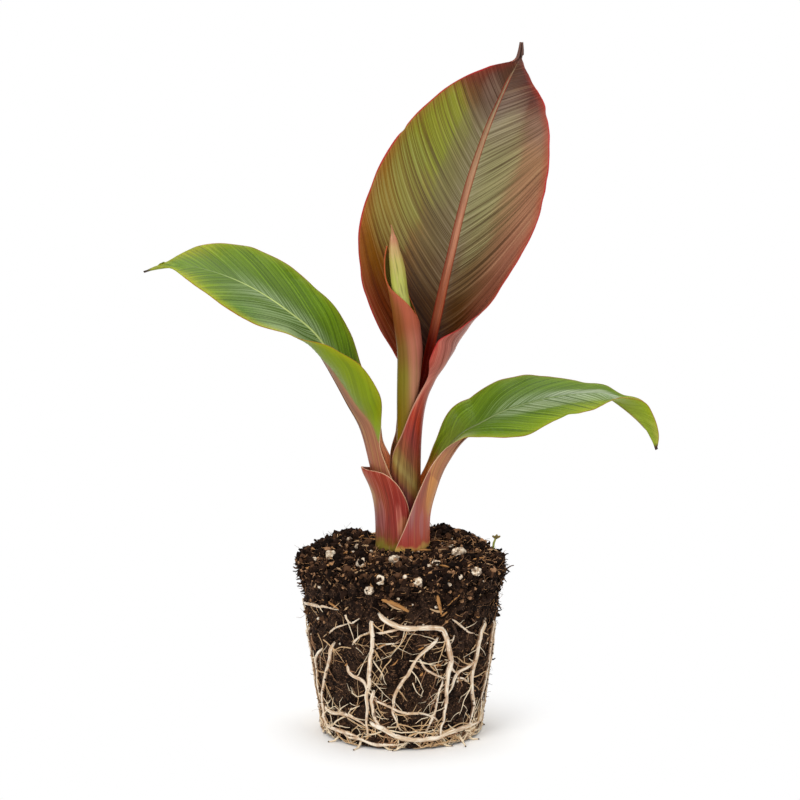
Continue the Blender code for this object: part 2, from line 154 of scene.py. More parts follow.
# ------------------------------------------------------------------ curves
def through(x, y, t):
    """Natural cubic spline through the rows y at x."""
    x, y = np.asarray(x, float), np.asarray(y, float)
    n, h = len(x), np.diff(x)
    a, b = np.zeros((n, n)), np.zeros_like(y)
    a[0, 0] = a[-1, -1] = 1
    for i in range(1, n - 1):
        a[i, i - 1], a[i, i], a[i, i + 1] = h[i - 1], 2 * (h[i - 1] + h[i]), h[i]
        b[i] = 6 * ((y[i + 1] - y[i]) / h[i] - (y[i] - y[i - 1]) / h[i - 1])
    m = np.linalg.solve(a, b)
    t = np.clip(t, x[0], x[-1])
    k = np.clip(np.searchsorted(x, t, side="right") - 1, 0, n - 2)
    hk, p, q = h[k][:, None], (x[k + 1] - t)[:, None], (t - x[k])[:, None]
    return (
        (m[k] * p**3 + m[k + 1] * q**3) / (6 * hk)
        + (y[k] / hk - m[k] * hk / 6) * p
        + (y[k + 1] / hk - m[k + 1] * hk / 6) * q
    )


def steady(x, y, t):
    """Cubic through the rows y at x that never overshoots them."""
    x, y = np.asarray(x, float), np.asarray(y, float)
    h = np.diff(x)[:, None]
    d = np.diff(y, axis=0) / h
    m = np.zeros_like(y)
    m[0], m[-1] = d[0], d[-1]
    w1, w2 = 2 * h[1:] + h[:-1], h[1:] + 2 * h[:-1]
    same = d[:-1] * d[1:] > 0
    a, b = np.where(same, d[:-1], 1), np.where(same, d[1:], 1)
    m[1:-1] = np.where(same, (w1 + w2) / (w1 / a + w2 / b), 0)
    t = np.clip(t, x[0], x[-1])
    k = np.clip(np.searchsorted(x, t, side="right") - 1, 0, len(x) - 2)
    hk, s = (x[k + 1] - x[k])[:, None], ((t - x[k]) / (x[k + 1] - x[k]))[:, None]
    return (
        (1 + 2 * s) * (1 - s) ** 2 * y[k]
        + s * (1 - s) ** 2 * hk * m[k]
        + s * s * (3 - 2 * s) * y[k + 1]
        + s * s * (s - 1) * hk * m[k + 1]
    )


MM = 0.001
TAU = 2 * math.pi
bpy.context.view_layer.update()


# ------------------------------------------------------------ smooth chance
def wander(x, seed, detail=1):
    """Smooth one-dimensional noise, about -1 to 1, one wave per unit of x."""
    x = np.asarray(x, float)
    total, amp, norm = np.zeros_like(x), 1.0, 0.0
    for k in range(detail):
        table = np.random.default_rng(seed * 31 + k).uniform(-1, 1, 512)
        y = x * 2**k + 17.3 * k
        i = np.floor(y).astype(int)
        f = y - i
        f = f * f * (3 - 2 * f)
        total += amp * (table[i % 512] * (1 - f) + table[(i + 1) % 512] * f)
        norm += amp
        amp *= 0.5
    return total / norm


def lumps(points, size, seed, waves=18):
    """Smooth noise in space, about -1 to 1, with bumps about size across."""
    rng = np.random.default_rng(seed)
    total = np.zeros(points.shape[:-1])
    for _ in range(waves):
        d = rng.normal(size=3)
        d *= math.pi / size * rng.uniform(0.6, 1.5) / np.linalg.norm(d)
        total += np.sin(points @ d + rng.uniform(0, TAU))
    return total * math.sqrt(2 / waves) / 1.6


def smooth(x, low, high):
    t = np.clip((np.asarray(x, float) - low) / (high - low), 0, 1)
    return t * t * (3 - 2 * t)


def hump(x, middle, half):
    return np.exp(-(((np.asarray(x, float) - middle) / half) ** 2))


# ---------------------------------------------------------------- the leaves
class Leaf:
    """A leaf surface over u (0 foot, 1 tip) and v (-1 far margin, 1 near margin)."""

    def __init__(self, rows, side):
        self.rows, self.side = np.asarray(rows, float), side
        steps = np.linalg.norm(np.diff(self.rows[:, :3], axis=0), axis=1)
        self.t = np.r_[0, np.cumsum(steps)]
        self.length = self.t[-1]

    def rib(self, u):
        return through(self.t, self.rows[:, :3], u * self.length)

    def frame(self, u):
        e = 1e-3
        tangent = self.rib(np.clip(u + e, 0, 1)) - self.rib(np.clip(u - e, 0, 1))
        tangent /= np.linalg.norm(tangent, axis=1)[:, None]
        back = np.tile([0.0, 1.0, 0.0], (len(u), 1))
        if self.side == "left":
            up = np.cross(back, tangent)
        elif self.side == "right":
            up = np.cross(tangent, back)
        else:
            up = -back + tangent * (back * tangent).sum(1)[:, None]
        up /= np.linalg.norm(up, axis=1)[:, None]
        across = np.cross(up, tangent)
        if self.side == "right" or (self.side == "tall" and across[-1, 0] < 0):
            across = -across
        turn = np.radians(through(self.t, self.rows[:, 3:4], u * self.length))
        return (
            across * np.cos(turn) + up * np.sin(turn),
            up * np.cos(turn) - across * np.sin(turn),
        )

    def surface(self, u, v):
        """For u (n) and v (n, m): points, distance from the midrib, half width, keel."""
        rib, (across, up) = self.rib(u), self.frame(u)
        table = steady(self.t, self.rows[:, 4:12], u * self.length)
        near = v >= 0
        w = np.where(near, table[:, 0:1], table[:, 3:4])
        a0 = np.radians(np.where(near, table[:, 1:2], table[:, 4:5]))
        a1 = np.radians(np.where(near, table[:, 2:3], table[:, 5:6]))
        d = np.where(np.abs(a1 - a0) < 1e-4, 1e-4, a1 - a0)
        a = a0 + d * np.abs(v)
        side = w / d * (np.sin(a) - np.sin(a0)) * np.where(near, 1, -1)
        rise = w / d * (np.cos(a0) - np.cos(a))
        points = (
            rib[:, None]
            + side[..., None] * across[:, None]
            + rise[..., None] * up[:, None]
        )
        out = np.abs(v) * w
        rise = (1 - np.clip(out / table[:, 7:8], 0, 1) ** 2) ** 2
        return points, out, w, (table[:, 6:7], rise), up


def unit(v):
    return v / np.maximum(np.linalg.norm(v, axis=-1, keepdims=True), 1e-9)


def face_normals(points, up):
    n = unit(np.cross(np.gradient(points, axis=0), np.gradient(points, axis=1)))
    middle = points.shape[1] // 2
    return n if (n[:, middle] * up).sum() > 0 else -n


def mesh_object(name, points, faces, materials, index=None, uv=None, attrs=None, even=True):
    """faces is a list of arrays of corners, each (n, 3) or (n, 4)."""
    mesh = bpy.data.meshes.new(name)
    mesh.vertices.add(len(points))
    mesh.vertices.foreach_set("co", (np.asarray(points) * MM).astype(np.float32).ravel())
    corners = np.concatenate([f.ravel() for f in faces]).astype(np.int32)
    sizes = np.concatenate([np.full(len(f), f.shape[1]) for f in faces])
    starts = np.r_[0, np.cumsum(sizes)[:-1]].astype(np.int32)
    mesh.loops.add(len(corners))
    mesh.loops.foreach_set("vertex_index", corners)
    mesh.polygons.add(len(sizes))
    mesh.polygons.foreach_set("loop_start", starts)
    for m in materials:
        mesh.materials.append(m)
    if index is not None:
        mesh.polygons.foreach_set("material_index", np.asarray(index, np.int32))
    mesh.update(calc_edges=True)
    if uv is not None:
        layer = mesh.uv_layers.new(name="OFBake")
        layer.data.foreach_set("uv", np.asarray(uv, np.float32).ravel())
    for key, value in (attrs or {}).items():
        made = mesh.attributes.new(key, "FLOAT_VECTOR", "POINT")
        made.data.foreach_set("vector", np.asarray(value, np.float32).ravel())
    if even:
        mesh.shade_smooth()
    else:
        mesh.shade_flat()
    mesh.validate()
    made = bpy.data.objects.new(name, mesh)
    bpy.context.scene.collection.objects.link(made)
    return made


def leaf_sheet(
    name, leaf, material, along, across, pull, thin, relief, outline=None,
    foot=None, slant=((0.7, 0.6), (0.7, 0.6)), crowd=None, twist=None,
):
    """The whole leaf as one closed thin sheet.

    thin(u, out, w) is the thickness apart from the keel; relief(...) lifts the
    upper face; outline(...) scales the half width, for notches and waviness.
    """
    t = np.linspace(0, 1, along + 1)
    u = t if crowd is None else crowd(t)
    s = np.linspace(0, 1, across + 1) ** pull
    v = np.tile(np.r_[-s[:0:-1], s], (len(u), 1))
    far = u * leaf.length
    if outline is not None:
        share = outline(far[:, None], np.sign(v))
        held = np.maximum(share, 0.4)
        v = v * (1 - (1 - held) * np.abs(v) ** 2) * share / held
    points, out, w, (keel, rise), up = leaf.surface(u, v)
    lateral = out * np.sign(v)
    widest = w.max()
    lean, bow = (np.where(v >= 0, slant[0][k], slant[1][k]) for k in (0, 1))
    vein = far[:, None] - (lean * out + bow * out**3 / widest**2)
    margin = w - out
    normal = face_normals(points, up)
    lift = relief(far[:, None], lateral, margin, vein, w)
    upper = points + normal * lift[..., None]
    if twist is not None:
        upper = twist(upper, far)
    normal = face_normals(upper, up)
    depth = thin(far[:, None], out, w)
    depth = depth + np.maximum(keel - depth, 0) * rise
    lower = upper - normal * depth[..., None]
    if foot is not None:
        for face in (upper, lower):
            face[0, :, 2] = foot
            face[1:4, :, 2] = np.maximum(face[1:4, :, 2], foot + 0.6)
    rows, cols = v.shape
    count = rows * cols
    grid = np.arange(count).reshape(rows, cols)
    a, b, c, d = grid[:-1, :-1], grid[:-1, 1:], grid[1:, 1:], grid[1:, :-1]
    top = np.stack([a, b, c, d], -1).reshape(-1, 4)
    low = top[:, ::-1] + count
    near = np.stack(
        [grid[:-1, -1], grid[1:, -1], grid[1:, -1] + count, grid[:-1, -1] + count], -1
    )[:, ::-1]
    farm = np.stack([grid[:-1, 0], grid[1:, 0], grid[1:, 0] + count, grid[:-1, 0] + count], -1)
    base = np.stack([grid[0, :-1], grid[0, 1:], grid[0, 1:] + count, grid[0, :-1] + count], -1)[:, ::-1]
    tip = np.stack([grid[-1, :-1], grid[-1, 1:], grid[-1, 1:] + count, grid[-1, :-1] + count], -1)
    all_points = np.concatenate([upper.reshape(-1, 3), lower.reshape(-1, 3)])
    p = all_points
    faces = [top, low, near, farm, base, tip]
    across_share = np.broadcast_to(np.linspace(0, 1, cols), (rows, cols))
    along_share = np.broadcast_to(0.02 + 0.96 * (far / leaf.length)[:, None], (rows, cols))
    uv_top = np.stack([0.01 + 0.475 * across_share, along_share], -1).reshape(-1, 2)
    uv_low = np.stack([0.99 - 0.475 * across_share, along_share], -1).reshape(-1, 2)
    place = np.concatenate([uv_top, uv_low])
    uvs = []
    for k, f in enumerate(faces):
        these = place[f]
        if k == 3:
            these[..., 0] = np.where(f >= count, 0.991, 0.998)
        if k == 4:
            these[..., 1] = np.where(f >= count, 0.004, 0.012)
            these[..., 0] = place[f % count][..., 0]
        if k == 5:
            these[..., 1] = np.where(f >= count, 0.996, 0.988)
            these[..., 0] = place[f % count][..., 0]
        uvs.append(these)
    if np.einsum("ij,ij->i", np.cross(p[top[:, 1]] - p[top[:, 0]], p[top[:, 3]] - p[top[:, 0]]),
                 normal.reshape(-1, 3)[top[:, 0]]).sum() < 0:
        faces = [f[:, ::-1] for f in faces]
        uvs = [x[:, ::-1] for x in uvs]
    zero, one = np.zeros(count), np.ones(count)
    la = np.stack([np.broadcast_to(far[:, None], lateral.shape), lateral, margin], -1).reshape(-1, 3)
    lb = np.stack([vein.ravel(), zero, (out / w).ravel()], -1)
    lb2 = np.stack([vein.ravel(), one, (out / w).ravel()], -1)
    return mesh_object(
        name, all_points, faces, [material],
        uv=np.concatenate([x.reshape(-1, 2) for x in uvs]),
        attrs={"LA": np.concatenate([la, la]), "LB": np.concatenate([lb, lb2])},
    )


# ------------------------------------------------------------ node materials
class Graph:
    """A small helper that writes a node material as expressions."""

    def __init__(self, name):
        self.material = bpy.data.materials.new(name)
        self.material.use_nodes = True
        self.tree = self.material.node_tree
        self.shader = self.tree.nodes["Principled BSDF"]

    def node(self, kind, **settings):
        made = self.tree.nodes.new(kind)
        for key, value in settings.items():
            setattr(made, key, value)
        return made

    def put(self, socket, value):
        if isinstance(value, bpy.types.NodeSocket):
            self.tree.links.new(value, socket)
        elif isinstance(value, tuple) and len(value) == 3 and socket.type == "RGBA":
            socket.default_value = (*value, 1)
        else:
            socket.default_value = value

    def attr(self, name):
        made = self.node("ShaderNodeAttribute", attribute_name=name)
        split = self.node("ShaderNodeSeparateXYZ")
        self.tree.links.new(made.outputs["Vector"], split.inputs[0])
        return split.outputs[0], split.outputs[1], split.outputs[2]

    def place(self):
        return self.node("ShaderNodeTexCoord").outputs["Object"]

    def join(self, x, y, z=0.0):
        made = self.node("ShaderNodeCombineXYZ")
        for socket, value in zip(made.inputs, (x, y, z)):
            self.put(socket, value)
        return made.outputs[0]

    def math(self, kind, a, b=0.0, c=0.0, clamp=False):
        made = self.node("ShaderNodeMath", operation=kind, use_clamp=clamp)
        for socket, value in zip(made.inputs, (a, b, c)):
            self.put(socket, value)
        return made.outputs[0]

    def mul(self, a, b):
        return self.math("MULTIPLY", a, b)

    def add(self, a, b):
        return self.math("ADD", a, b)

    def most(self, a, b):
        return self.math("MAXIMUM", a, b)

    def span(self, x, low, high, to_low=0.0, to_high=1.0):
        made = self.node("ShaderNodeMapRange", interpolation_type="SMOOTHSTEP")
        for socket, value in zip(made.inputs[:5], (x, low, high, to_low, to_high)):
            self.put(socket, value)
        return made.outputs[0]

    def noise(self, vector, scale=1.0, detail=2.0, rough=0.5, distort=0.0):
        made = self.node("ShaderNodeTexNoise")
        self.put(made.inputs["Vector"], vector)
        made.inputs["Scale"].default_value = scale
        made.inputs["Detail"].default_value = detail
        made.inputs["Roughness"].default_value = rough
        made.inputs["Distortion"].default_value = distort
        return made.outputs[0]

    def streaks(self, vein, lateral, across, along, seed, detail=3.0, rough=0.6):
        """Noise drawn out along the veins: across and along are its lengths in mm."""
        return self.noise(
            self.join(self.mul(vein, 1 / across), self.mul(lateral, 1 / along), seed),
            1.0, detail, rough,
        )

    def ramp(self, x, stops, low=0.0, high=1.0):
        """Colour stops (x, rgb), x in the units of low..high."""
        made = self.node("ShaderNodeValToRGB")
        made.color_ramp.interpolation = "EASE"
        elements = made.color_ramp.elements
        stops = sorted(stops)
        places = [(at - low) / (high - low) for at, _ in stops]
        elements.remove(elements[-1])
        elements[0].position = places[0]
        for place in places[1:]:
            elements.new(place)
        for k, (_, rgb) in enumerate(stops):
            elements[k].color = (*rgb, 1)
        scaled = self.mul(self.math("SUBTRACT", x, low), 1 / (high - low))
        self.put(made.inputs[0], scaled)
        return made.outputs[0]

    def mix(self, share, a, b, blend="MIX"):
        made = self.node("ShaderNodeMix", data_type="RGBA", blend_type=blend)
        made.clamp_factor = True
        self.put(made.inputs[0], share)
        self.put(made.inputs[6], a)
        self.put(made.inputs[7], b)
        return made.outputs[2]

    def bump(self, height, strength, distance, under=None):
        made = self.node("ShaderNodeBump")
        made.inputs["Strength"].default_value = strength
        made.inputs["Distance"].default_value = distance
        self.put(made.inputs["Height"], height)
        if under is not None:
            self.put(made.inputs["Normal"], under)
        return made.outputs[0]

    def finish(self, colour, rough, normal=None, **uniform):
        self.put(self.shader.inputs["Base Color"], colour)
        self.put(self.shader.inputs["Roughness"], rough)
        if normal is not None:
            self.put(self.shader.inputs["Normal"], normal)
        for key, value in uniform.items():
            self.shader.inputs[key.replace("_", " ")].default_value = value
        return self.material


def plain(name, rgb, rough, **uniform):
    g = Graph(name)
    return g.finish(rgb, rough, **uniform)


def deep(rgb):
    """The skin's own colour: its shine lays a little white over what is seen."""
    return tuple(max(c - 0.016, 0.0015) for c in rgb)


def blade_finish(
    name, length, upper, under, rib, margin, painted_sheen, streak, lamina, sheath,
    keel=None, rough=0.4,
):
    """Colours of a whole leaf.

    upper and under: {"mid": stops, "near": stops, "far": stops}, along the leaf
    in mm, beside the midrib and out at either margin. rib: (stops, half width
    stops as (mm along, mm)). margin: (rgb, width). The painted sheen, a
    highlight painted in pale streaks beside the midrib: (rgb, share beside
    the midrib). streak: (dark rgb, share, light rgb, share). sheath: up to
    there the veins run lengthwise, beyond it out to the margin.
    """
    g = Graph(name)
    far, lateral, edge = g.attr("LA")
    vein, face, share = g.attr("LB")
    out = g.math("ABSOLUTE", lateral)
    right = g.span(lateral, -0.5, 0.5)

    def stops_of(stops):
        return [(x, deep(rgb)) for x, rgb in stops]

    in_blade = g.span(far, *sheath)
    beyond = in_blade
    inside = None
    if keel is not None:
        rgb_stops, widths, soft = keel
        w = g.ramp(far, [(x, (m / 20, m / 20, m / 20)) for x, m in widths], 0.0, length)
        w = g.mul(w, 20.0)
        inside = g.span(g.math("SUBTRACT", out, w), soft, -soft)
        lengthwise = g.mul(inside, g.span(face, 0.4, 0.6))
        in_blade = g.mul(in_blade, g.math("SUBTRACT", 1.0, lengthwise))

    def both(across, along, seed, detail=3.0, rough_=0.6):
        one = g.streaks(vein, lateral, across, along, seed, detail, rough_)
        two = g.streaks(g.add(lateral, g.mul(face, 40.0)), far, across, along, seed + 3, detail, rough_)
        made = g.node("ShaderNodeMix", data_type="FLOAT")
        g.put(made.inputs[0], in_blade)
        g.put(made.inputs[2], two)
        g.put(made.inputs[3], one)
        return made.outputs[0]

    fine = both(*lamina["fine"], 1.7)
    broad = both(*lamina["broad"], 9.1, 2.0, 0.5)
    patch = g.noise(g.join(g.mul(vein, 1 / 26), g.mul(lateral, 1 / 20), 4.4), 1.0, 1.0, 0.5)
    tone = g.add(g.mul(fine, 0.5), g.mul(broad, 0.5))

    def zones(spec):
        low, high = 0.0, length
        ragged = g.add(far, g.mul(g.math("SUBTRACT", broad, 0.5), spec.get("ragged", 14.0)))
        if "lean" in spec:
            ragged = g.math("SUBTRACT", ragged, g.mul(g.math("SUBTRACT", out, 12.0), spec["lean"]))
        mid = g.ramp(ragged, stops_of(spec["mid"]), low, high)
        near = g.ramp(ragged, stops_of(spec["near"]), low, high)
        away = g.ramp(ragged, stops_of(spec["far"]), low, high)
        side = g.mix(right, away, near)
        wide = g.add(share, g.mul(g.math("SUBTRACT", broad, 0.5), 0.5))
        made = g.mix(g.span(wide, *spec.get("spread", (0.15, 0.8))), mid, side)
        for rgb, at, amount, along, rows in spec.get("spots", ()):
            # a soft area: its colour, centre (mm along, mm aside), share, half sizes
            a = g.math("SUBTRACT", far, at[0])
            b = g.math("SUBTRACT", lateral, at[1])
            r = g.add(
                g.mul(g.math("MULTIPLY", a, a), 1 / along**2),
                g.mul(g.math("MULTIPLY", b, b), 1 / rows**2),
            )
            r = g.add(r, g.add(g.mul(g.math("SUBTRACT", patch, 0.5), 1.5), g.mul(g.math("SUBTRACT", broad, 0.5), 1.2)))
            near_it = g.span(r, 1.25, -0.2)
            worn = g.add(near_it, g.add(g.mul(g.math("SUBTRACT", broad, 0.5), 1.6),
                                        g.mul(g.math("SUBTRACT", fine, 0.5), 1.3)))
            combed = g.mul(g.span(near_it, 0.0, 0.5), g.span(tone, 0.40, 0.56, 1 - spec.get("comb", 0.25), 1.0))
            made = g.mix(g.mul(g.mul(g.span(worn, 0.08, 0.92), combed), amount), made, deep(rgb))
        return made

    dark, dark_share, light, light_share = streak

    def streaked(base, amount):
        made = g.mix(g.mul(g.span(tone, 0.5, 0.36), dark_share * amount), base, dark, "MULTIPLY")
        made = g.mix(g.mul(g.span(tone, 0.52, 0.66), light_share * amount), made, deep(light))
        value = g.mul(
            g.span(fine, 0.32, 0.68, 1 - 0.27 * amount, 1 + 0.22 * amount),
            g.span(broad, 0.32, 0.68, 1 - 0.11 * amount, 1 + 0.10 * amount),
        )
        return g.mix(1.0, made, g.join(value, value, value), "MULTIPLY")

    top = streaked(zones(upper), 1.0)
    # painted sheen: pale streaks beside the midrib, painted into the upper face's colour as a highlight where light
    # shines off the leaf
    if painted_sheen is not None:
        rgb, reach, amount, begin, stop = painted_sheen
        reach = g.add(g.mul(right, reach[0] - reach[1]), reach[1])
        beside = g.mul(g.span(out, reach, 1.5), g.mul(g.span(far, begin[0], begin[1]), g.span(far, stop[1], stop[0])))
        sheen_streaks = g.span(g.add(g.mul(fine, 0.5), g.add(g.mul(broad, 0.3), g.mul(patch, 0.2))), 0.43, 0.58)
        top = g.mix(g.mul(g.mul(beside, sheen_streaks), amount), top, deep(rgb))
    low = streaked(zones(under), lamina.get("under", 0.7))
    if keel is not None:
        skin = streaked(g.ramp(far, stops_of(rgb_stops), 0.0, length), 0.8)
        low = g.mix(inside, low, skin)
    rib_stops, rib_widths, rib_edge = rib
    w = g.mul(g.ramp(far, [(x, (m / 5, m / 5, m / 5)) for x, m in rib_widths], 0.0, length), 5.0)
    gap = g.math("SUBTRACT", out, w)
    line = g.span(gap, 0.25, -0.25)
    rib_skin = g.ramp(far, stops_of(rib_stops), 0.0, length)
    grain = g.streaks(lateral, far, 0.5, 24, 5.5)
    tint = g.span(grain, 0.3, 0.7, 0.75, 1.2)
    rib_skin = g.mix(1.0, rib_skin, g.join(tint, tint, tint), "MULTIPLY")
    top = g.mix(g.mul(line, g.span(face, 0.6, 0.4)), top, rib_skin)
    rim = g.mul(g.span(g.math("ABSOLUTE", gap), 0.42, 0.1), g.span(w, 0.2, 0.6))
    top = g.mix(g.mul(rim, rib_edge[1]), top, deep(rib_edge[0]))
    colour = g.mix(g.span(face, 0.4, 0.6), top, low)
    rgb, width, amount, blush, reach, blush_share = margin
    soft = g.mul(g.span(edge, reach, 0.0), g.mul(in_blade, g.span(lateral, -0.5, 0.5, blush_share * 0.45, blush_share)))
    soft = g.mul(soft, g.span(fine, 0.25, 0.6, 0.6, 1.0))
    soft = g.mul(soft, g.span(face, 0.4, 0.6, 1.0, lamina.get("rose", 1.0)))
    colour = g.mix(soft, colour, deep(blush))
    band = g.math("SUBTRACT", edge, g.mul(g.math("SUBTRACT", patch, 0.5), width))
    hem = g.mix(beyond, deep(lamina.get("hem", rgb)), deep(rgb))
    colour = g.mix(g.mul(g.span(band, width, width * 0.25), amount), colour, hem)
    if "tip" in upper:
        rgb, begin, stop = upper["tip"]
        colour = g.mix(g.span(far, begin, stop), colour, rgb)
    if "foot" in under:
        rgb, rise = under["foot"]
        stain = g.noise(g.join(g.mul(lateral, 1 / 5), g.mul(far, 1 / 6), 8.8), 1.0, 3.0, 0.6)
        ragged = g.add(far, g.mul(g.math("SUBTRACT", g.add(g.mul(broad, 0.25), g.mul(stain, 0.75)), 0.5), rise * 3.4))
        colour = g.mix(g.span(ragged, rise * 1.4, rise * 0.05, 0.0, 0.92), colour, deep(rgb))
    ripple = g.math("SINE", g.mul(vein, TAU / lamina["ripple"]))
    ripple = g.mul(ripple, g.mul(in_blade, g.span(out, 2.0, 14.0, 0.03, 0.2)))
    height = g.add(ripple, g.add(g.mul(fine, 1.2), g.mul(broad, 0.6)))
    normal = g.bump(height, lamina["bump"], 0.0003)
    shine = g.span(fine, 0.3, 0.7, rough - 0.08, rough + 0.1)
    return g.finish(colour, shine, normal, **{"Specular_IOR_Level": lamina.get("spec", 0.16)})


# ------------------------------------------------------- the leaves, one by one
right, left = Leaf(RIGHT_LEAF, "right"), Leaf(LEFT_LEAF, "left")
tall, outer, roll = Leaf(TALL_LEAF, "tall"), Leaf(OUTER_SHEATH, "left"), Leaf(ROLLED_LEAF, "left")
FINE = 1.0


def at(pairs, x):
    xs, ys = zip(*pairs)
    return np.interp(x, xs, ys)


def channel(far, lateral, widths, depth):
    """The midrib on the upper face: a shallow channel between two low ridges."""
    half = np.maximum(at(widths, far), 1e-3)
    size = np.clip(half / 1.2, 0, 1)
    x = np.abs(lateral) / half
    return size * depth * (0.45 * hump(x, 1.05, 0.35) - 1.0 * hump(x, 0, 0.7))


def pleats(vein, lateral, margin, far, period, amp, seed, begin, fine=0.3):
    """Low corrugation along the veins, uneven as in a soft leaf."""
    out = np.abs(lateral)
    run = np.where(lateral < 0, 1, -1) * 40.0
    strength = 0.65 + 0.5 * wander(vein / (2.7 * period) + run, seed)
    phase = TAU * vein / period + 2.2 * wander(vein / (3.1 * period) + run, seed + 1)
    main = np.sin(phase) * strength
    small = np.sin(TAU * vein / (0.31 * period) + 2 * wander(vein / period, seed + 2))
    window = smooth(out, 1.5, 9) * smooth(margin, 0.2, 4) * smooth(far, begin, begin + 18)
    return amp * window * (main + fine * small)


def frill(far, margin, lateral, amp, size, seed, begin, reach=9):
    """Slow waves that grow towards the margin."""
    run = np.where(lateral < 0, 30.0, 0.0)
    wave = wander(far / size + run, seed, 2)
    return amp * wave * smooth(margin, reach, 0) * smooth(far, begin, begin + 15)


def thin_of(leaf, sheath, blade, change):
    def thin(far, out, w):
        body = sheath + (blade - sheath) * smooth(far, change[0], change[1])
        return body * (0.5 + 0.5 * smooth(w - out, 0.0, 1.6)) + 0 * out
    return thin


# tall leaf, standing behind the stem
TALL_RIB = [(60, 1.6), (92, 2.0), (120, 2.1), (150, 1.9), (180, 1.7), (205, 1.25), (232, 0.65), (246, 0.0)]


def tall_relief(far, lateral, margin, vein, w):
    return (
        pleats(vein, lateral, margin, far, 4.6, 0.15, 3, 84)
        + frill(far, margin, lateral, 0.9, 13, 5, 105)
        + channel(far, lateral, TALL_RIB, 0.9)
    )


def tall_outline(far, side):
    wave = 1 + 0.006 * wander(far / 9 + 20 * side, 8, 2) * smooth(far, 95, 120)
    notch = 0.035 * hump(far, 228, 2.2) * (side > 0) + 0.02 * hump(far, 196, 2) * (side < 0)
    neck = np.interp(far, [238, 243, 246, 248.5, 252], [1.0, 0.8, 0.45, 0.2, 0.2])
    return (wave - notch) * neck


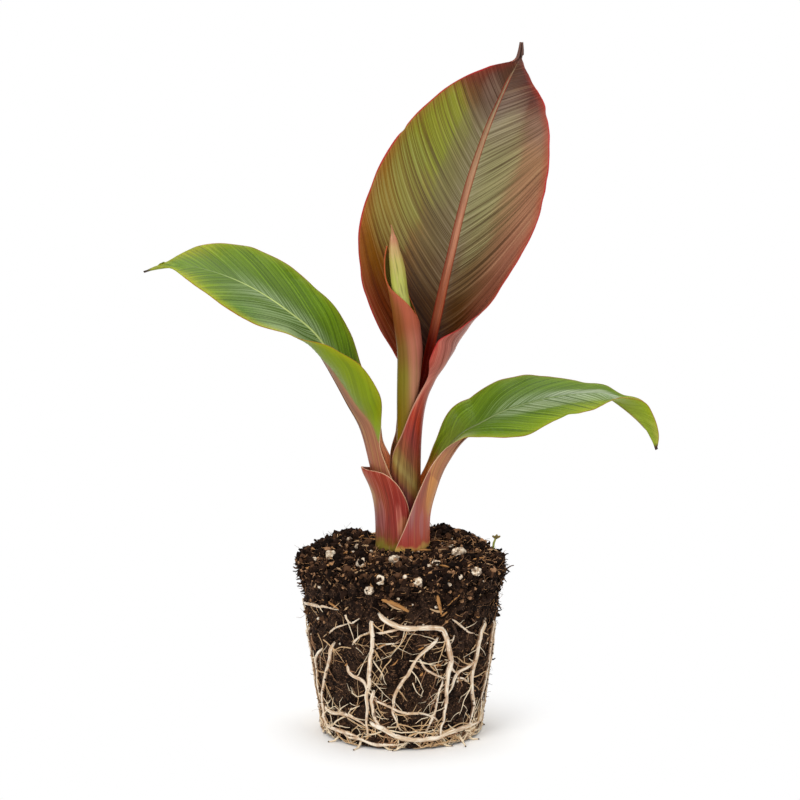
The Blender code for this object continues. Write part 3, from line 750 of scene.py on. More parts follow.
tall_material = blade_finish(
    "tall leaf", tall.length,
    upper={
        "mid": [(0, (0.80, 0.36, 0.15)), (62, (0.70, 0.28, 0.11)), (80, (0.10, 0.03, 0.010)), (98, (0.06, 0.022, 0.008)),
                (118, (0.085, 0.04, 0.018)), (135, (0.13, 0.08, 0.038)), (152, (0.17, 0.125, 0.058)),
                (177, (0.21, 0.175, 0.08)), (207, (0.19, 0.145, 0.075)), (226, (0.115, 0.06, 0.036)),
                (245, (0.085, 0.036, 0.024))],
        "near": [(90, (0.13, 0.028, 0.016)), (112, (0.17, 0.050, 0.035)), (130, (0.20, 0.070, 0.046)),
                 (150, (0.28, 0.112, 0.073)), (175, (0.33, 0.155, 0.093)), (200, (0.30, 0.16, 0.088)),
                 (220, (0.25, 0.145, 0.10)), (232, (0.13, 0.045, 0.035)), (245, (0.07, 0.014, 0.011))],
        "far": [(0, (0.85, 0.40, 0.17)), (64, (0.75, 0.32, 0.12)), (84, (0.16, 0.035, 0.01)), (115, (0.18, 0.042, 0.010)), (140, (0.24, 0.095, 0.016)),
                (165, (0.31, 0.15, 0.020)), (192, (0.27, 0.175, 0.028)), (215, (0.23, 0.13, 0.032)),
                (232, (0.14, 0.04, 0.025)), (250, (0.08, 0.018, 0.013))],
        "spots": [((0.25, 0.31, 0.018), (203, -25), 0.55, 30, 19),
                  ((0.22, 0.27, 0.035), (190, -25), 0.4, 42, 24),
                  ((0.25, 0.26, 0.08), (166, -34), 0.6, 36, 17),
                  ((0.28, 0.27, 0.13), (188, 9), 0.65, 50, 18),
                  ((0.18, 0.14, 0.08), (186, -8), 0.5, 46, 10),
                  # these two pale mauve-grey spots are painted highlights, sheen painted into the colour
                  ((0.34, 0.25, 0.21), (229, -7), 0.15, 12, 7),
                  ((0.30, 0.22, 0.18), (220, 9), 0.3, 20, 10)],
        "tip": ((0.13, 0.065, 0.05), 244, 249),
        "spread": (0.2, 0.85), "comb": 0.7,
    },
    under={
        "mid": [(0, (0.28, 0.10, 0.04)), (34, (0.33, 0.14, 0.05)), (60, (0.26, 0.10, 0.06)),
                (75, (0.36, 0.10, 0.05)), (95, (0.34, 0.08, 0.05)), (140, (0.33, 0.10, 0.075)),
                (250, (0.25, 0.09, 0.06))],
        "near": [(0, (0.14, 0.04, 0.045)), (19, (0.16, 0.04, 0.045)), (24, (0.20, 0.065, 0.045)),
                 (28.5, (0.27, 0.15, 0.05)), (32.5, (0.34, 0.25, 0.08)), (37, (0.28, 0.17, 0.055)),
                 (43, (0.27, 0.085, 0.042)), (52, (0.29, 0.055, 0.042)), (62, (0.38, 0.05, 0.03)),
                 # from 78 mm the near underside is the flap: its rose is partly its own colour and partly painted
                 # sheen, lightened to show highlights
                 (70, (0.42, 0.08, 0.055)), (78, (0.49, 0.16, 0.125)), (88, (0.56, 0.25, 0.21)), (100, (0.59, 0.28, 0.24)),
                 (130, (0.56, 0.27, 0.23)), (250, (0.4, 0.15, 0.12))],
        # up to 48 mm the far half's underside is orange, partly its own colour and partly painted light: lightened in
        # its shade as if lit through the thin sheath
        "far": [(0, (0.50, 0.22, 0.07)), (48, (0.52, 0.24, 0.08)), (66, (0.26, 0.08, 0.05)), (98, (0.34, 0.08, 0.05)),
                (250, (0.3, 0.1, 0.07))],
        "spread": (0.05, 0.4), "ragged": 4.0, "lean": 1.3,
    },
    rib=([(60, (0.17, 0.02, 0.008)), (98, (0.22, 0.025, 0.012)), (118, (0.40, 0.125, 0.065)),
          (160, (0.50, 0.235, 0.145)), (200, (0.48, 0.30, 0.18)), (225, (0.36, 0.26, 0.16))],
         TALL_RIB, ((0.25, 0.03, 0.015), 0.8)),
    margin=((0.42, 0.035, 0.035), 1.1, 0.9, (0.38, 0.06, 0.04), 7.0, 0.6),
    # painted sheen: grey-mauve streaks painted beside the midrib as a highlight
    painted_sheen=((0.25, 0.20, 0.17), (11, 11), 0.4, (118, 150), (215, 240)),
    streak=((0.45, 0.33, 0.31), 0.7, (0.33, 0.26, 0.15), 0.25),
    lamina={"fine": (0.5, 42), "broad": (1.7, 70), "ripple": 1.1, "bump": 0.45, "hem": (0.50, 0.26, 0.18), "rose": 0.12, "under": 0.95},
    sheath=(70, 100), rough=0.38,
)
tall_piece = leaf_sheet(
    "tall_leaf", tall, tall_material, int(300 * FINE), int(38 * FINE), 1.45,
    thin_of(tall, 0.6, 0.42, (70, 100)), tall_relief, tall_outline, foot=91.6,
    slant=((0.85, 0.4), (0.9, 0.36)),
)

# left leaf, arching out with its near half folded up over the petiole
LEFT_RIB = [(50, 1.0), (100, 0.85), (130, 0.75), (155, 0.5), (178, 0.25), (192, 0.0)]


def left_relief(far, lateral, margin, vein, w):
    return (
        pleats(vein, lateral, margin, far, 4.6, 0.2, 13, 66)
        + frill(far, margin, lateral, 0.7, 12, 15, 80)
        + channel(far, lateral, LEFT_RIB, 0.5)
    )


def left_outline(far, side):
    tail = np.interp(far, [184, 192, 198, 204], [1.0, 0.82, 0.6, 0.8])
    return tail + 0.008 * wander(far / 8 + 20 * side, 18, 2) * smooth(far, 75, 95)


left_material = blade_finish(
    "left leaf", left.length,
    upper={
        # up to 50 mm the upper face is the sheath's inner face, in shade: its orange is its own colour painted much
        # lighter, a painted glow for light shining through the thin sheath
        "mid": [(0, (0.98, 0.48, 0.28)), (50, (0.98, 0.48, 0.28)), (66, (0.18, 0.18, 0.03)),
                (80, (0.10, 0.17, 0.006)), (120, (0.085, 0.15, 0.010)), (160, (0.09, 0.16, 0.015)),
                (190, (0.12, 0.20, 0.01)), (203, (0.26, 0.28, 0.05))],
        "near": [(50, (0.98, 0.48, 0.28)), (70, (0.18, 0.22, 0.01)), (100, (0.26, 0.33, 0.15)), (122, (0.26, 0.33, 0.15)),
                 (150, (0.085, 0.17, 0.006)), (168, (0.17, 0.25, 0.006)), (182, (0.25, 0.29, 0.006)), (195, (0.18, 0.28, 0.01))],
        "far": [(50, (0.98, 0.48, 0.28)), (70, (0.24, 0.18, 0.02)), (88, (0.075, 0.14, 0.003)),
                (105, (0.135, 0.24, 0.003)), (130, (0.11, 0.20, 0.004)), (165, (0.13, 0.21, 0.008)), (190, (0.26, 0.27, 0.02))],
        "tip": ((0.05, 0.03, 0.02), 202, 205.5),
        "spread": (0.25, 0.95),
    },
    under={
        "mid": [(0, (0.31, 0.115, 0.07)), (60, (0.31, 0.145, 0.085)), (74, (0.20, 0.26, 0.04)),
                (200, (0.22, 0.30, 0.05))],
        "near": [(0, (0.33, 0.115, 0.075)), (44, (0.35, 0.16, 0.10)), (54, (0.22, 0.27, 0.05)),
                 (66, (0.21, 0.28, 0.012)), (110, (0.21, 0.285, 0.006)), (200, (0.20, 0.28, 0.02))],
        "far": [(0, (0.31, 0.112, 0.068)), (50, (0.30, 0.125, 0.07)), (66, (0.2, 0.24, 0.05)),
                (200, (0.22, 0.29, 0.05))],
    },
    rib=([(40, (0.33, 0.14, 0.07)), (80, (0.24, 0.27, 0.09)), (115, (0.42, 0.50, 0.18)),
          (150, (0.42, 0.50, 0.18)), (172, (0.20, 0.28, 0.09)), (200, (0.12, 0.18, 0.04))],
         LEFT_RIB, ((0.10, 0.17, 0.04), 0.35)),
    margin=((0.36, 0.15, 0.03), 0.5, 0.85, (0.33, 0.34, 0.012), 4.8, 0.75),
    # painted sheen: pale grey-green streaks painted beside the midrib as a highlight
    painted_sheen=((0.27, 0.34, 0.20), (26, 12), 0.8, (78, 98), (146, 172)),
    streak=((0.50, 0.58, 0.45), 0.6, (0.20, 0.30, 0.04), 0.3),
    lamina={"fine": (0.55, 40), "broad": (2.0, 70), "ripple": 1.1, "bump": 0.4, "under": 0.4, "hem": (0.62, 0.40, 0.24)},
    sheath=(55, 70),
    keel=([(0, (0.34, 0.11, 0.07)), (30, (0.35, 0.115, 0.068)), (70, (0.33, 0.15, 0.085)), (110, (0.30, 0.15, 0.06)),
           (150, (0.28, 0.2, 0.06))],
          [(0, 19.9), (40, 15), (55, 8.5), (72, 7.5), (92, 6.5), (110, 4), (135, 1.5), (150, 0.0)], 0.8),
    rough=0.4,
)
left_piece = leaf_sheet(
    "left_leaf", left, left_material, int(250 * FINE), int(30 * FINE), 1.4,
    thin_of(left, 0.6, 0.42, (50, 75)), left_relief, left_outline, foot=91.6,
    slant=((1.3, 0.4), (1.4, 0.4)),
)

# right leaf, arching out and nodding at the tip
RIGHT_RIB = [(45, 0.9), (70, 0.8), (100, 0.6), (140, 0.4), (165, 0.0)]


def right_relief(far, lateral, margin, vein, w):
    return (
        pleats(vein, lateral, margin, far, 4.2, 0.2, 23, 56)
        + frill(far, margin, lateral, 0.8, 11, 25, 70)
        + channel(far, lateral, RIGHT_RIB, 0.5)
    )


def right_outline(far, side):
    wave = 1 + 0.01 * wander(far / 8 + 20 * side, 28, 2) * smooth(far, 60, 80)
    return wave - 0.10 * hump(far, 118, 4) * (side > 0)


right_material = blade_finish(
    "right leaf", right.length,
    upper={
        "mid": [(0, (0.85, 0.32, 0.13)), (34, (0.75, 0.30, 0.12)), (46, (0.17, 0.21, 0.04)),
                (75, (0.09, 0.16, 0.010)), (110, (0.085, 0.155, 0.012)), (140, (0.12, 0.20, 0.02)),
                (158, (0.20, 0.29, 0.02)), (172, (0.34, 0.36, 0.06))],
        "near": [(42, (0.75, 0.30, 0.12)), (58, (0.34, 0.36, 0.20)), (72, (0.12, 0.21, 0.006)),
                 (105, (0.17, 0.25, 0.006)), (140, (0.25, 0.31, 0.02)), (160, (0.25, 0.33, 0.02))],
        "far": [(34, (0.85, 0.32, 0.10)), (42, (0.26, 0.17, 0.02)), (49, (0.15, 0.21, 0.004)), (68, (0.12, 0.20, 0.003)),
                (100, (0.10, 0.18, 0.003)), (135, (0.12, 0.20, 0.012)), (160, (0.26, 0.33, 0.02))],
        "tip": ((0.05, 0.02, 0.015), 170, 172.5),
        "spread": (0.25, 0.9), "comb": 0.6,
        # both pale grey-green spots beside the midrib are painted highlights
        "spots": [((0.52, 0.58, 0.42), (130, -4), 0.6, 26, 6.5), ((0.40, 0.46, 0.28), (114, 5), 0.4, 28, 5)],
    },
    under={
        "mid": [(0, (0.52, 0.105, 0.065)), (12, (0.56, 0.125, 0.08)), (24, (0.62, 0.25, 0.095)),
                (44, (0.53, 0.27, 0.15)), (58, (0.45, 0.23, 0.17)), (76, (0.24, 0.26, 0.05)),
                (170, (0.27, 0.35, 0.04))],
        "near": [(0, (0.45, 0.072, 0.055)), (14, (0.40, 0.10, 0.09)), (30, (0.33, 0.115, 0.085)),
                 (46, (0.33, 0.115, 0.066)), (60, (0.29, 0.19, 0.075)), (76, (0.25, 0.34, 0.04)),
                 (155, (0.27, 0.36, 0.03)), (168, (0.46, 0.46, 0.10))],
        "spots": [((0.36, 0.17, 0.17), (20, 15), 0.6, 15, 2.6), ((0.68, 0.30, 0.10), (30, 4), 0.8, 17, 4.5),
                  ((0.50, 0.22, 0.22), (12, 9), 0.5, 9, 1.5)],
        "far": [(0, (0.38, 0.09, 0.05)), (40, (0.42, 0.15, 0.07)), (60, (0.3, 0.2, 0.06)),
                (76, (0.24, 0.32, 0.04)), (170, (0.27, 0.36, 0.03))],
        "spread": (0.2, 0.9), "foot": ((0.66, 0.42, 0.12), 2.8), "comb": 0.0,
    },
    rib=([(40, (0.42, 0.18, 0.08)), (60, (0.20, 0.24, 0.09)), (90, (0.22, 0.29, 0.12)),
          (150, (0.24, 0.34, 0.12))],
         RIGHT_RIB, ((0.06, 0.11, 0.03), 0.5)),
    margin=((0.36, 0.15, 0.035), 0.5, 0.85, (0.30, 0.34, 0.012), 4.2, 0.55),
    # painted sheen: pale grey-green streaks painted beside the midrib as a highlight
    painted_sheen=((0.38, 0.45, 0.31), (10, 12.5), 0.85, (72, 92), (156, 166)),
    streak=((0.46, 0.55, 0.42), 0.7, (0.19, 0.29, 0.04), 0.3),
    lamina={"fine": (0.55, 40), "broad": (2.0, 70), "ripple": 1.05, "bump": 0.4, "under": 0.45, "hem": (0.66, 0.42, 0.28)},
    sheath=(48, 62),
    keel=([(0, (0.50, 0.12, 0.07)), (24, (0.54, 0.21, 0.075)), (45, (0.45, 0.19, 0.10)),
           (62, (0.36, 0.15, 0.09)), (100, (0.32, 0.16, 0.07))],
          [(0, 0.0), (30, 0.0), (40, 9.0), (52, 9.0), (62, 6.0), (78, 3.4), (92, 1.2), (104, 0.0)], 0.8),
    rough=0.4,
)
right_piece = leaf_sheet(
    "right_leaf", right, right_material, int(230 * FINE), int(28 * FINE), 1.4,
    thin_of(right, 0.6, 0.42, (44, 66)), right_relief, right_outline, foot=91.6,
    slant=((1.4, 0.4), (1.2, 0.4)),
)

# outer sheath, cut short and narrowing to a point


def outer_relief(far, lateral, margin, vein, w):
    return 0.06 * np.sin(TAU * lateral / 2.6 + wander(far / 20, 31)) + 0.25 * wander(
        far / 9 + lateral / 30, 33
    ) * smooth(margin, 6, 0)


outer_material = blade_finish(
    "outer sheath", outer.length,
    upper={"mid": [(0, (0.34, 0.09, 0.05)), (40, (0.36, 0.12, 0.06))],
           "near": [(0, (0.34, 0.09, 0.05)), (40, (0.36, 0.12, 0.06))],
           "far": [(0, (0.34, 0.09, 0.05)), (40, (0.36, 0.12, 0.06))]},
    under={
        "mid": [(0, (0.26, 0.15, 0.04)), (6, (0.27, 0.09, 0.05)), (12, (0.30, 0.075, 0.06)),
                (24, (0.34, 0.13, 0.06)), (33, (0.34, 0.11, 0.05)), (38, (0.38, 0.12, 0.06))],
        "near": [(0, (0.28, 0.10, 0.03)), (8, (0.29, 0.05, 0.04)), (20, (0.28, 0.038, 0.03)),
                 (36, (0.30, 0.05, 0.03))],
        "far": [(0, (0.28, 0.12, 0.03)), (8, (0.33, 0.09, 0.05)), (36, (0.33, 0.08, 0.05))],
        "spread": (0.15, 0.75), "foot": ((0.27, 0.22, 0.045), 4.4), "ragged": 8.0,
        "spots": [((0.44, 0.25, 0.09), (27, 3), 0.75, 7, 3.4), ((0.42, 0.16, 0.15), (16, 8.5), 0.55, 11, 2.0),
                  ((0.52, 0.15, 0.11), (15, 17), 0.6, 9, 2.0), ((0.50, 0.25, 0.10), (10, 19), 0.45, 8, 4)],
        "comb": 0.3,
    },
    rib=([(0, (0.34, 0.1, 0.05)), (40, (0.36, 0.12, 0.06))], [(0, 0.0), (40, 0.0)], ((0.2, 0.05, 0.03), 0.0)),
    margin=((0.74, 0.44, 0.28), 0.6, 0.9, (0.3, 0.08, 0.05), 3.0, 0.0),
    painted_sheen=None,
    streak=((0.6, 0.42, 0.42), 0.7, (0.46, 0.18, 0.14), 0.55),
    lamina={"fine": (0.5, 26), "broad": (1.4, 22), "ripple": 1.2, "bump": 0.25, "under": 0.7},
    sheath=(900, 901), rough=0.36,
)
outer_piece = leaf_sheet(
    "outer_sheath_piece", outer, outer_material, int(84 * FINE), int(28 * FINE), 1.0,
    thin_of(outer, 0.6, 0.5, (25, 38)), outer_relief, None, foot=91.6, slant=((0, 0), (0, 0)),
)

# rolled young leaf round the spear


def roll_relief(far, lateral, margin, vein, w):
    return 0.05 * np.sin(TAU * lateral / 2.2 + wander(far / 30, 41)) * smooth(far, 20, 60) + 0.15 * wander(
        far / 11 + lateral / 25, 43
    ) * smooth(margin, 6, 0)


roll_material = blade_finish(
    "rolled leaf", roll.length,
    upper={"mid": [(0, (0.2, 0.14, 0.03)), (150, (0.24, 0.20, 0.05))],
           "near": [(0, (0.2, 0.14, 0.03)), (120, (0.34, 0.15, 0.05)), (150, (0.34, 0.2, 0.06))],
           "far": [(0, (0.2, 0.14, 0.03)), (120, (0.26, 0.22, 0.05)), (150, (0.34, 0.2, 0.06))]},
    under={
        "mid": [(0, (0.19, 0.11, 0.012)), (60, (0.20, 0.13, 0.014)), (84, (0.22, 0.175, 0.03)),
                (98, (0.22, 0.12, 0.035)), (110, (0.23, 0.075, 0.028)), (135, (0.30, 0.12, 0.04)),
                (150, (0.42, 0.15, 0.08))],
        "near": [(0, (0.25, 0.105, 0.035)), (56, (0.29, 0.135, 0.052)), (84, (0.44, 0.19, 0.12)),
                 (100, (0.46, 0.155, 0.11)), (114, (0.38, 0.10, 0.058)), (150, (0.42, 0.12, 0.05))],
        "far": [(0, (0.20, 0.12, 0.02)), (90, (0.26, 0.20, 0.05)), (120, (0.34, 0.2, 0.06)),
                (150, (0.42, 0.15, 0.08))],
        "spread": (0.3, 0.8), "ragged": 6.0,
    },
    rib=([(0, (0.34, 0.1, 0.05)), (40, (0.36, 0.12, 0.06))], [(0, 0.0), (40, 0.0)], ((0.2, 0.05, 0.03), 0.0)),
    margin=((0.46, 0.11, 0.045), 0.6, 0.9, (0.4, 0.1, 0.05), 3.0, 0.0),
    painted_sheen=None,
    streak=((0.66, 0.62, 0.55), 0.45, (0.30, 0.24, 0.08), 0.2),
    lamina={"fine": (0.6, 70), "broad": (3.0, 90), "ripple": 1.2, "bump": 0.25, "under": 0.3},
    sheath=(900, 901), rough=0.4,
)
roll_piece = leaf_sheet(
    "rolled_leaf_piece", roll, roll_material, int(160 * FINE), int(30 * FINE), 1.0,
    thin_of(roll, 0.5, 0.42, (80, 120)), roll_relief, None, foot=91.6, slant=((0.1, 0), (0.1, 0)),
)


# the furled spear: a slim cone whose own margin winds round it once
def spear_piece():
    table = np.asarray(SPEAR, float)
    t = np.r_[0, np.cumsum(np.linalg.norm(np.diff(table[:, :3], axis=0), axis=1))]
    along, sides = int(200 * FINE), int(48 * FINE)
    s = np.linspace(0, t[-1], along)
    rows = steady(t, table, s)
    turn = np.linspace(0, TAU, sides, endpoint=False)
    angle = np.tile(turn, (along, 1))
    seam = -0.5 * math.pi + 2.6 - 3.4 * (s / t[-1])[:, None] ** 1.3
    wound = np.mod(angle - seam, TAU) / TAU
    step = 0.09 * wound - 0.05 + 0.012 * np.sin(9 * angle + s[:, None] / 14)
    r = rows[:, 3:4] * (0.97 + step)
    x = rows[:, 0:1] + r * np.cos(angle)
    y = rows[:, 1:2] + r * np.sin(angle)
    z = np.broadcast_to(rows[:, 2:3], x.shape)
    points = np.stack([x, y, z], -1).reshape(-1, 3)
    grid = np.arange(along * sides).reshape(along, sides)
    nxt = np.roll(grid, -1, axis=1)
    quads = np.stack([grid[:-1], nxt[:-1], nxt[1:], grid[1:]], -1).reshape(-1, 4)
    low, high = len(points), len(points) + 1
    points = np.concatenate([points, [rows[0, :3]], [rows[-1, :3] + [0, 0, 0.2]]])
    fans = np.concatenate([
        np.stack([nxt[0], grid[0], np.full(sides, low)], -1),
        np.stack([grid[-1], nxt[-1], np.full(sides, high)], -1),
    ])
    u0 = np.broadcast_to(turn / TAU, (along - 1, sides))
    u1 = u0 + 1 / sides
    v = 0.03 + 0.94 * s / t[-1]
    v0, v1 = np.broadcast_to(v[:-1, None], u0.shape), np.broadcast_to(v[1:, None], u0.shape)
    uv = np.stack([np.stack([u0, v0], -1), np.stack([u1, v0], -1), np.stack([u1, v1], -1),
                   np.stack([u0, v1], -1)], 2).reshape(-1, 2) * [0.98, 1] + [0.01, 0]
    k = np.arange(sides)
    def cap(v_rim, v_top, flip):
        a, b = k / sides, (k + 1) / sides
        first, second = (b, a) if flip else (a, b)
        return np.stack([np.stack([first, 0 * a + v_rim], -1), np.stack([second, 0 * a + v_rim], -1),
                         np.stack([(a + b) / 2, 0 * a + v_top], -1)], 1).reshape(-1, 2) * [0.98, 1] + [0.01, 0]
    uv = np.concatenate([uv, cap(0.026, 0.004, True), cap(0.974, 0.996, False)])
    far = np.r_[np.repeat(s, sides), 0, t[-1]]
    ang = np.r_[angle.ravel(), 0, 0]
    wnd = np.r_[wound.ravel(), 0.5, 0.5]
    g = Graph("spear leaf")
    f, a, w = g.attr("LA")
    tones = [(0, (0.30, 0.22, 0.05)), (100, (0.68, 0.52, 0.24)), (107, (0.60, 0.50, 0.20)), (114, (0.46, 0.50, 0.12)), (132, (0.46, 0.47, 0.10)),
             (141, (0.48, 0.42, 0.11)), (148, (0.50, 0.33, 0.13)), (154, (0.48, 0.20, 0.11)), (160, (0.38, 0.16, 0.07))]
    body = g.ramp(f, [(x, deep(rgb)) for x, rgb in tones], 0.0, float(t[-1]))
    vein = g.add(g.mul(a, 4.0), g.mul(f, 0.06))
    streak = g.streaks(vein, f, 0.5, 26, 3.3)
    broad = g.streaks(vein, f, 2.2, 16, 7.7, 1.0, 0.5)
    colour = g.mix(g.mul(g.span(broad, 0.56, 0.64), g.mul(g.span(f, 90, 105), 0.75)), body, (0.20, 0.19, 0.03))
    colour = g.mix(g.mul(g.span(streak, 0.5, 0.36), 0.6), colour, (0.6, 0.62, 0.5), "MULTIPLY")
    colour = g.mix(g.mul(g.span(w, 0.96, 0.995), 0.8), colour, (0.5, 0.4, 0.16))
    material = g.finish(colour, g.span(streak, 0.3, 0.7, 0.34, 0.5), g.bump(streak, 0.25, 0.0002))
    return mesh_object("spear_leaf_piece", points, [quads, fans], [material], uv=uv,
                       attrs={"LA": np.stack([far, ang, wnd], -1)})


spear_made = spear_piece()


# ------------------------------------------------------------- the root ball
MOUNDS = [(20, 29, 4.6, 7), (34, 22, 2.8, 7), (-28, 26, 3.6, 8), (-40, 8, 1.2, 6), (0, 40, 1.0, 10)]


def wall(z):
    """Radius of the ball's side at height z."""
    return 39.0 + 11.7 * np.clip(z, 0, 87) / 87


def soil_top(x, y):
    """Height of the soil surface inside the rim."""
    r = np.hypot(x, y)
    z = np.interp(r, [0, 14, 27, 39, 47, 50.7], [93.2, 93.0, 91.4, 89.4, 87.8, 85.2])
    for mx, my, height, size in MOUNDS:
        z = z + height * np.exp(-((x - mx) ** 2 + (y - my) ** 2) / (2 * size**2)) * smooth(r, 51, 44)
    return z


def ball_core():
    sides = int(270 * (1))
    rows = int(92 * (1))
    angle = np.linspace(0, TAU, sides, endpoint=False)
    profile = [(r, 0.35) for r in np.linspace(1, 37, 12)] + [(38.2, 0.6)]
    profile += [(float(wall(z)) - 0.5, z) for z in np.linspace(1.6, 84, rows)]
    profile += [(49.6, 85.6), (49.0, 86.8)]
    rings = [(r, None) for r in np.linspace(48, 1, 44)]
    points = []
    for r, z in profile + rings:
        x, y = r * np.cos(angle), r * np.sin(angle)
        points.append(np.stack([x, y, soil_top(x, y) - 1.2 if z is None else 0 * x + z], -1))
    p = np.array(points)
    side = np.array([z is not None and z > 1 for r, z in profile + rings])[:, None]
    top = np.array([z is None for r, z in profile + rings])[:, None]
    rough = 0.9 * lumps(p, 6.0, 101) + 0.8 * lumps(p, 2.8, 102) + 0.45 * lumps(p, 1.5, 103)
    rough = rough * np.where(top, 1.0, 0.55 + 0.45 * smooth(p[..., 2], 55, 75))
    pits = -1.8 * smooth(lumps(p, 4.0, 104), 0.45, 1.0)
    lift = (rough + pits) * np.where(side | top, 1.0, 0.0)
    radial = p.copy()
    radial[..., 2] = 0
    radial = unit(radial)
    out = np.where(top[..., None], [0.0, 0.0, 1.0], radial)
    p = p + out * lift[..., None]
    p[..., 2] = np.maximum(p[..., 2], 0.35)
    count = len(p)
    grid = np.arange(count * sides).reshape(count, sides)
    nxt = np.roll(grid, -1, axis=1)
    quads = np.stack([grid[:-1], nxt[:-1], nxt[1:], grid[1:]], -1).reshape(-1, 4)
    flat = p.reshape(-1, 3)
    low, high = len(flat), len(flat) + 1
    points = np.concatenate([flat, [[0, 0, 0.35], [0, 0, 92.4]]])
    fans = np.concatenate([
        np.stack([nxt[0], grid[0], np.full(sides, low)], -1),
        np.stack([grid[-1], nxt[-1], np.full(sides, high)], -1),
    ])
    # the side unrolls into a strip; top and underside are discs beside it
    uv = []
    kinds = np.array([0 if z is not None and z <= 0.6 else (1 if z is not None else 2) for r, z in profile + rings])
    for i in range(count - 1):
        a = np.arange(sides)
        if kinds[i] == 1 or (kinds[i] == 0 and kinds[i + 1] == 1):
            first = int(np.argmax(kinds == 1))
            last = int(np.argmax(kinds == 2))
            v0, v1 = ((j - first + 1) / (last - first + 1) * 0.56 + 0.42 for j in (i, i + 1))
            u0, u1 = a / sides * 0.98 + 0.01, (a + 1) / sides * 0.98 + 0.01
            cell = [(u0, v0), (u1, v0), (u1, v1), (u0, v1)]
        else:
            centre = (0.2, 0.2) if kinds[i] == 0 else (0.6, 0.2)
            def disc(ring, k):
                xy = p[ring][k % sides][:, :2] / 52 * 0.19
                return centre[0] + xy[:, 0], centre[1] + xy[:, 1]
            cell = [disc(i, a), disc(i, a + 1), disc(i + 1, a + 1), disc(i + 1, a)]
        uv.append(np.stack([np.stack(np.broadcast_arrays(*c), -1) for c in cell], 1))
    uv = np.concatenate(uv).reshape(-1, 2)
    k = np.arange(sides)
    def fan(ring, centre, order):
        xy = p[ring][:, :2] / 52 * 0.19 + np.array(centre)
        pair = (xy[(k + 1) % sides], xy[k]) if order else (xy[k], xy[(k + 1) % sides])
        return np.stack([pair[0], pair[1], np.broadcast_to(np.array(centre), xy.shape)], 1).reshape(-1, 2)
    uv = np.concatenate([uv, fan(0, (0.2, 0.2), True), fan(-1, (0.6, 0.2), False)])
    g = Graph("peat")
    place = g.place()
    n1 = g.noise(place, 160, 3.0, 0.65)
    n2 = g.noise(place, 620, 3.0, 0.7)
    n3 = g.noise(place, 1500, 1.0, 0.6)
    colour = g.mix(g.span(n1, 0.38, 0.66), (0.007, 0.0035, 0.0025), (0.036, 0.019, 0.012))
    colour = g.mix(g.span(n2, 0.54, 0.68), colour, (0.12, 0.060, 0.033))
    colour = g.mix(g.span(n3, 0.64, 0.73), colour, (0.28, 0.15, 0.075))
    material = g.finish(colour, 0.92, g.bump(g.add(n2, g.mul(n3, 0.5)), 0.8, 0.0008),
                        **{"Specular_IOR_Level": 0.1})
    return mesh_object("peat_core", points, [quads, fans], [material], uv=uv)


def icosphere(times):
    t = (1 + 5**0.5) / 2
    v = [(-1, t, 0), (1, t, 0), (-1, -t, 0), (1, -t, 0), (0, -1, t), (0, 1, t), (0, -1, -t), (0, 1, -t),
         (t, 0, -1), (t, 0, 1), (-t, 0, -1), (-t, 0, 1)]
    f = [(0, 11, 5), (0, 5, 1), (0, 1, 7), (0, 7, 10), (0, 10, 11), (1, 5, 9), (5, 11, 4), (11, 10, 2),
         (10, 7, 6), (7, 1, 8), (3, 9, 4), (3, 4, 2), (3, 2, 6), (3, 6, 8), (3, 8, 9), (4, 9, 5),
         (2, 4, 11), (6, 2, 10), (8, 6, 7), (9, 8, 1)]
    v = [np.array(p, float) / math.sqrt(1 + t * t) for p in v]
    for _ in range(times):
        seen, faces = {}, []
        def half(a, b):
            key = (min(a, b), max(a, b))
            if key not in seen:
                m = v[a] + v[b]
                v.append(m / np.linalg.norm(m))
                seen[key] = len(v) - 1
            return seen[key]
        for a, b, c in f:
            x, y, z = half(a, b), half(b, c), half(c, a)
            faces += [(a, x, z), (b, y, x), (c, z, y), (x, y, z)]
        f = faces
    return np.array(v), np.array(f)


def turns(rng, n):
    """n random rotations."""
    q = unit(rng.normal(size=(n, 4)))
    w, x, y, z = q.T
    return np.stack([
        np.stack([1 - 2 * (y * y + z * z), 2 * (x * y - z * w), 2 * (x * z + y * w)], -1),
        np.stack([2 * (x * y + z * w), 1 - 2 * (x * x + z * z), 2 * (y * z - x * w)], -1),
        np.stack([2 * (x * z - y * w), 2 * (y * z + x * w), 1 - 2 * (x * x + y * y)], -1),
    ], 1)


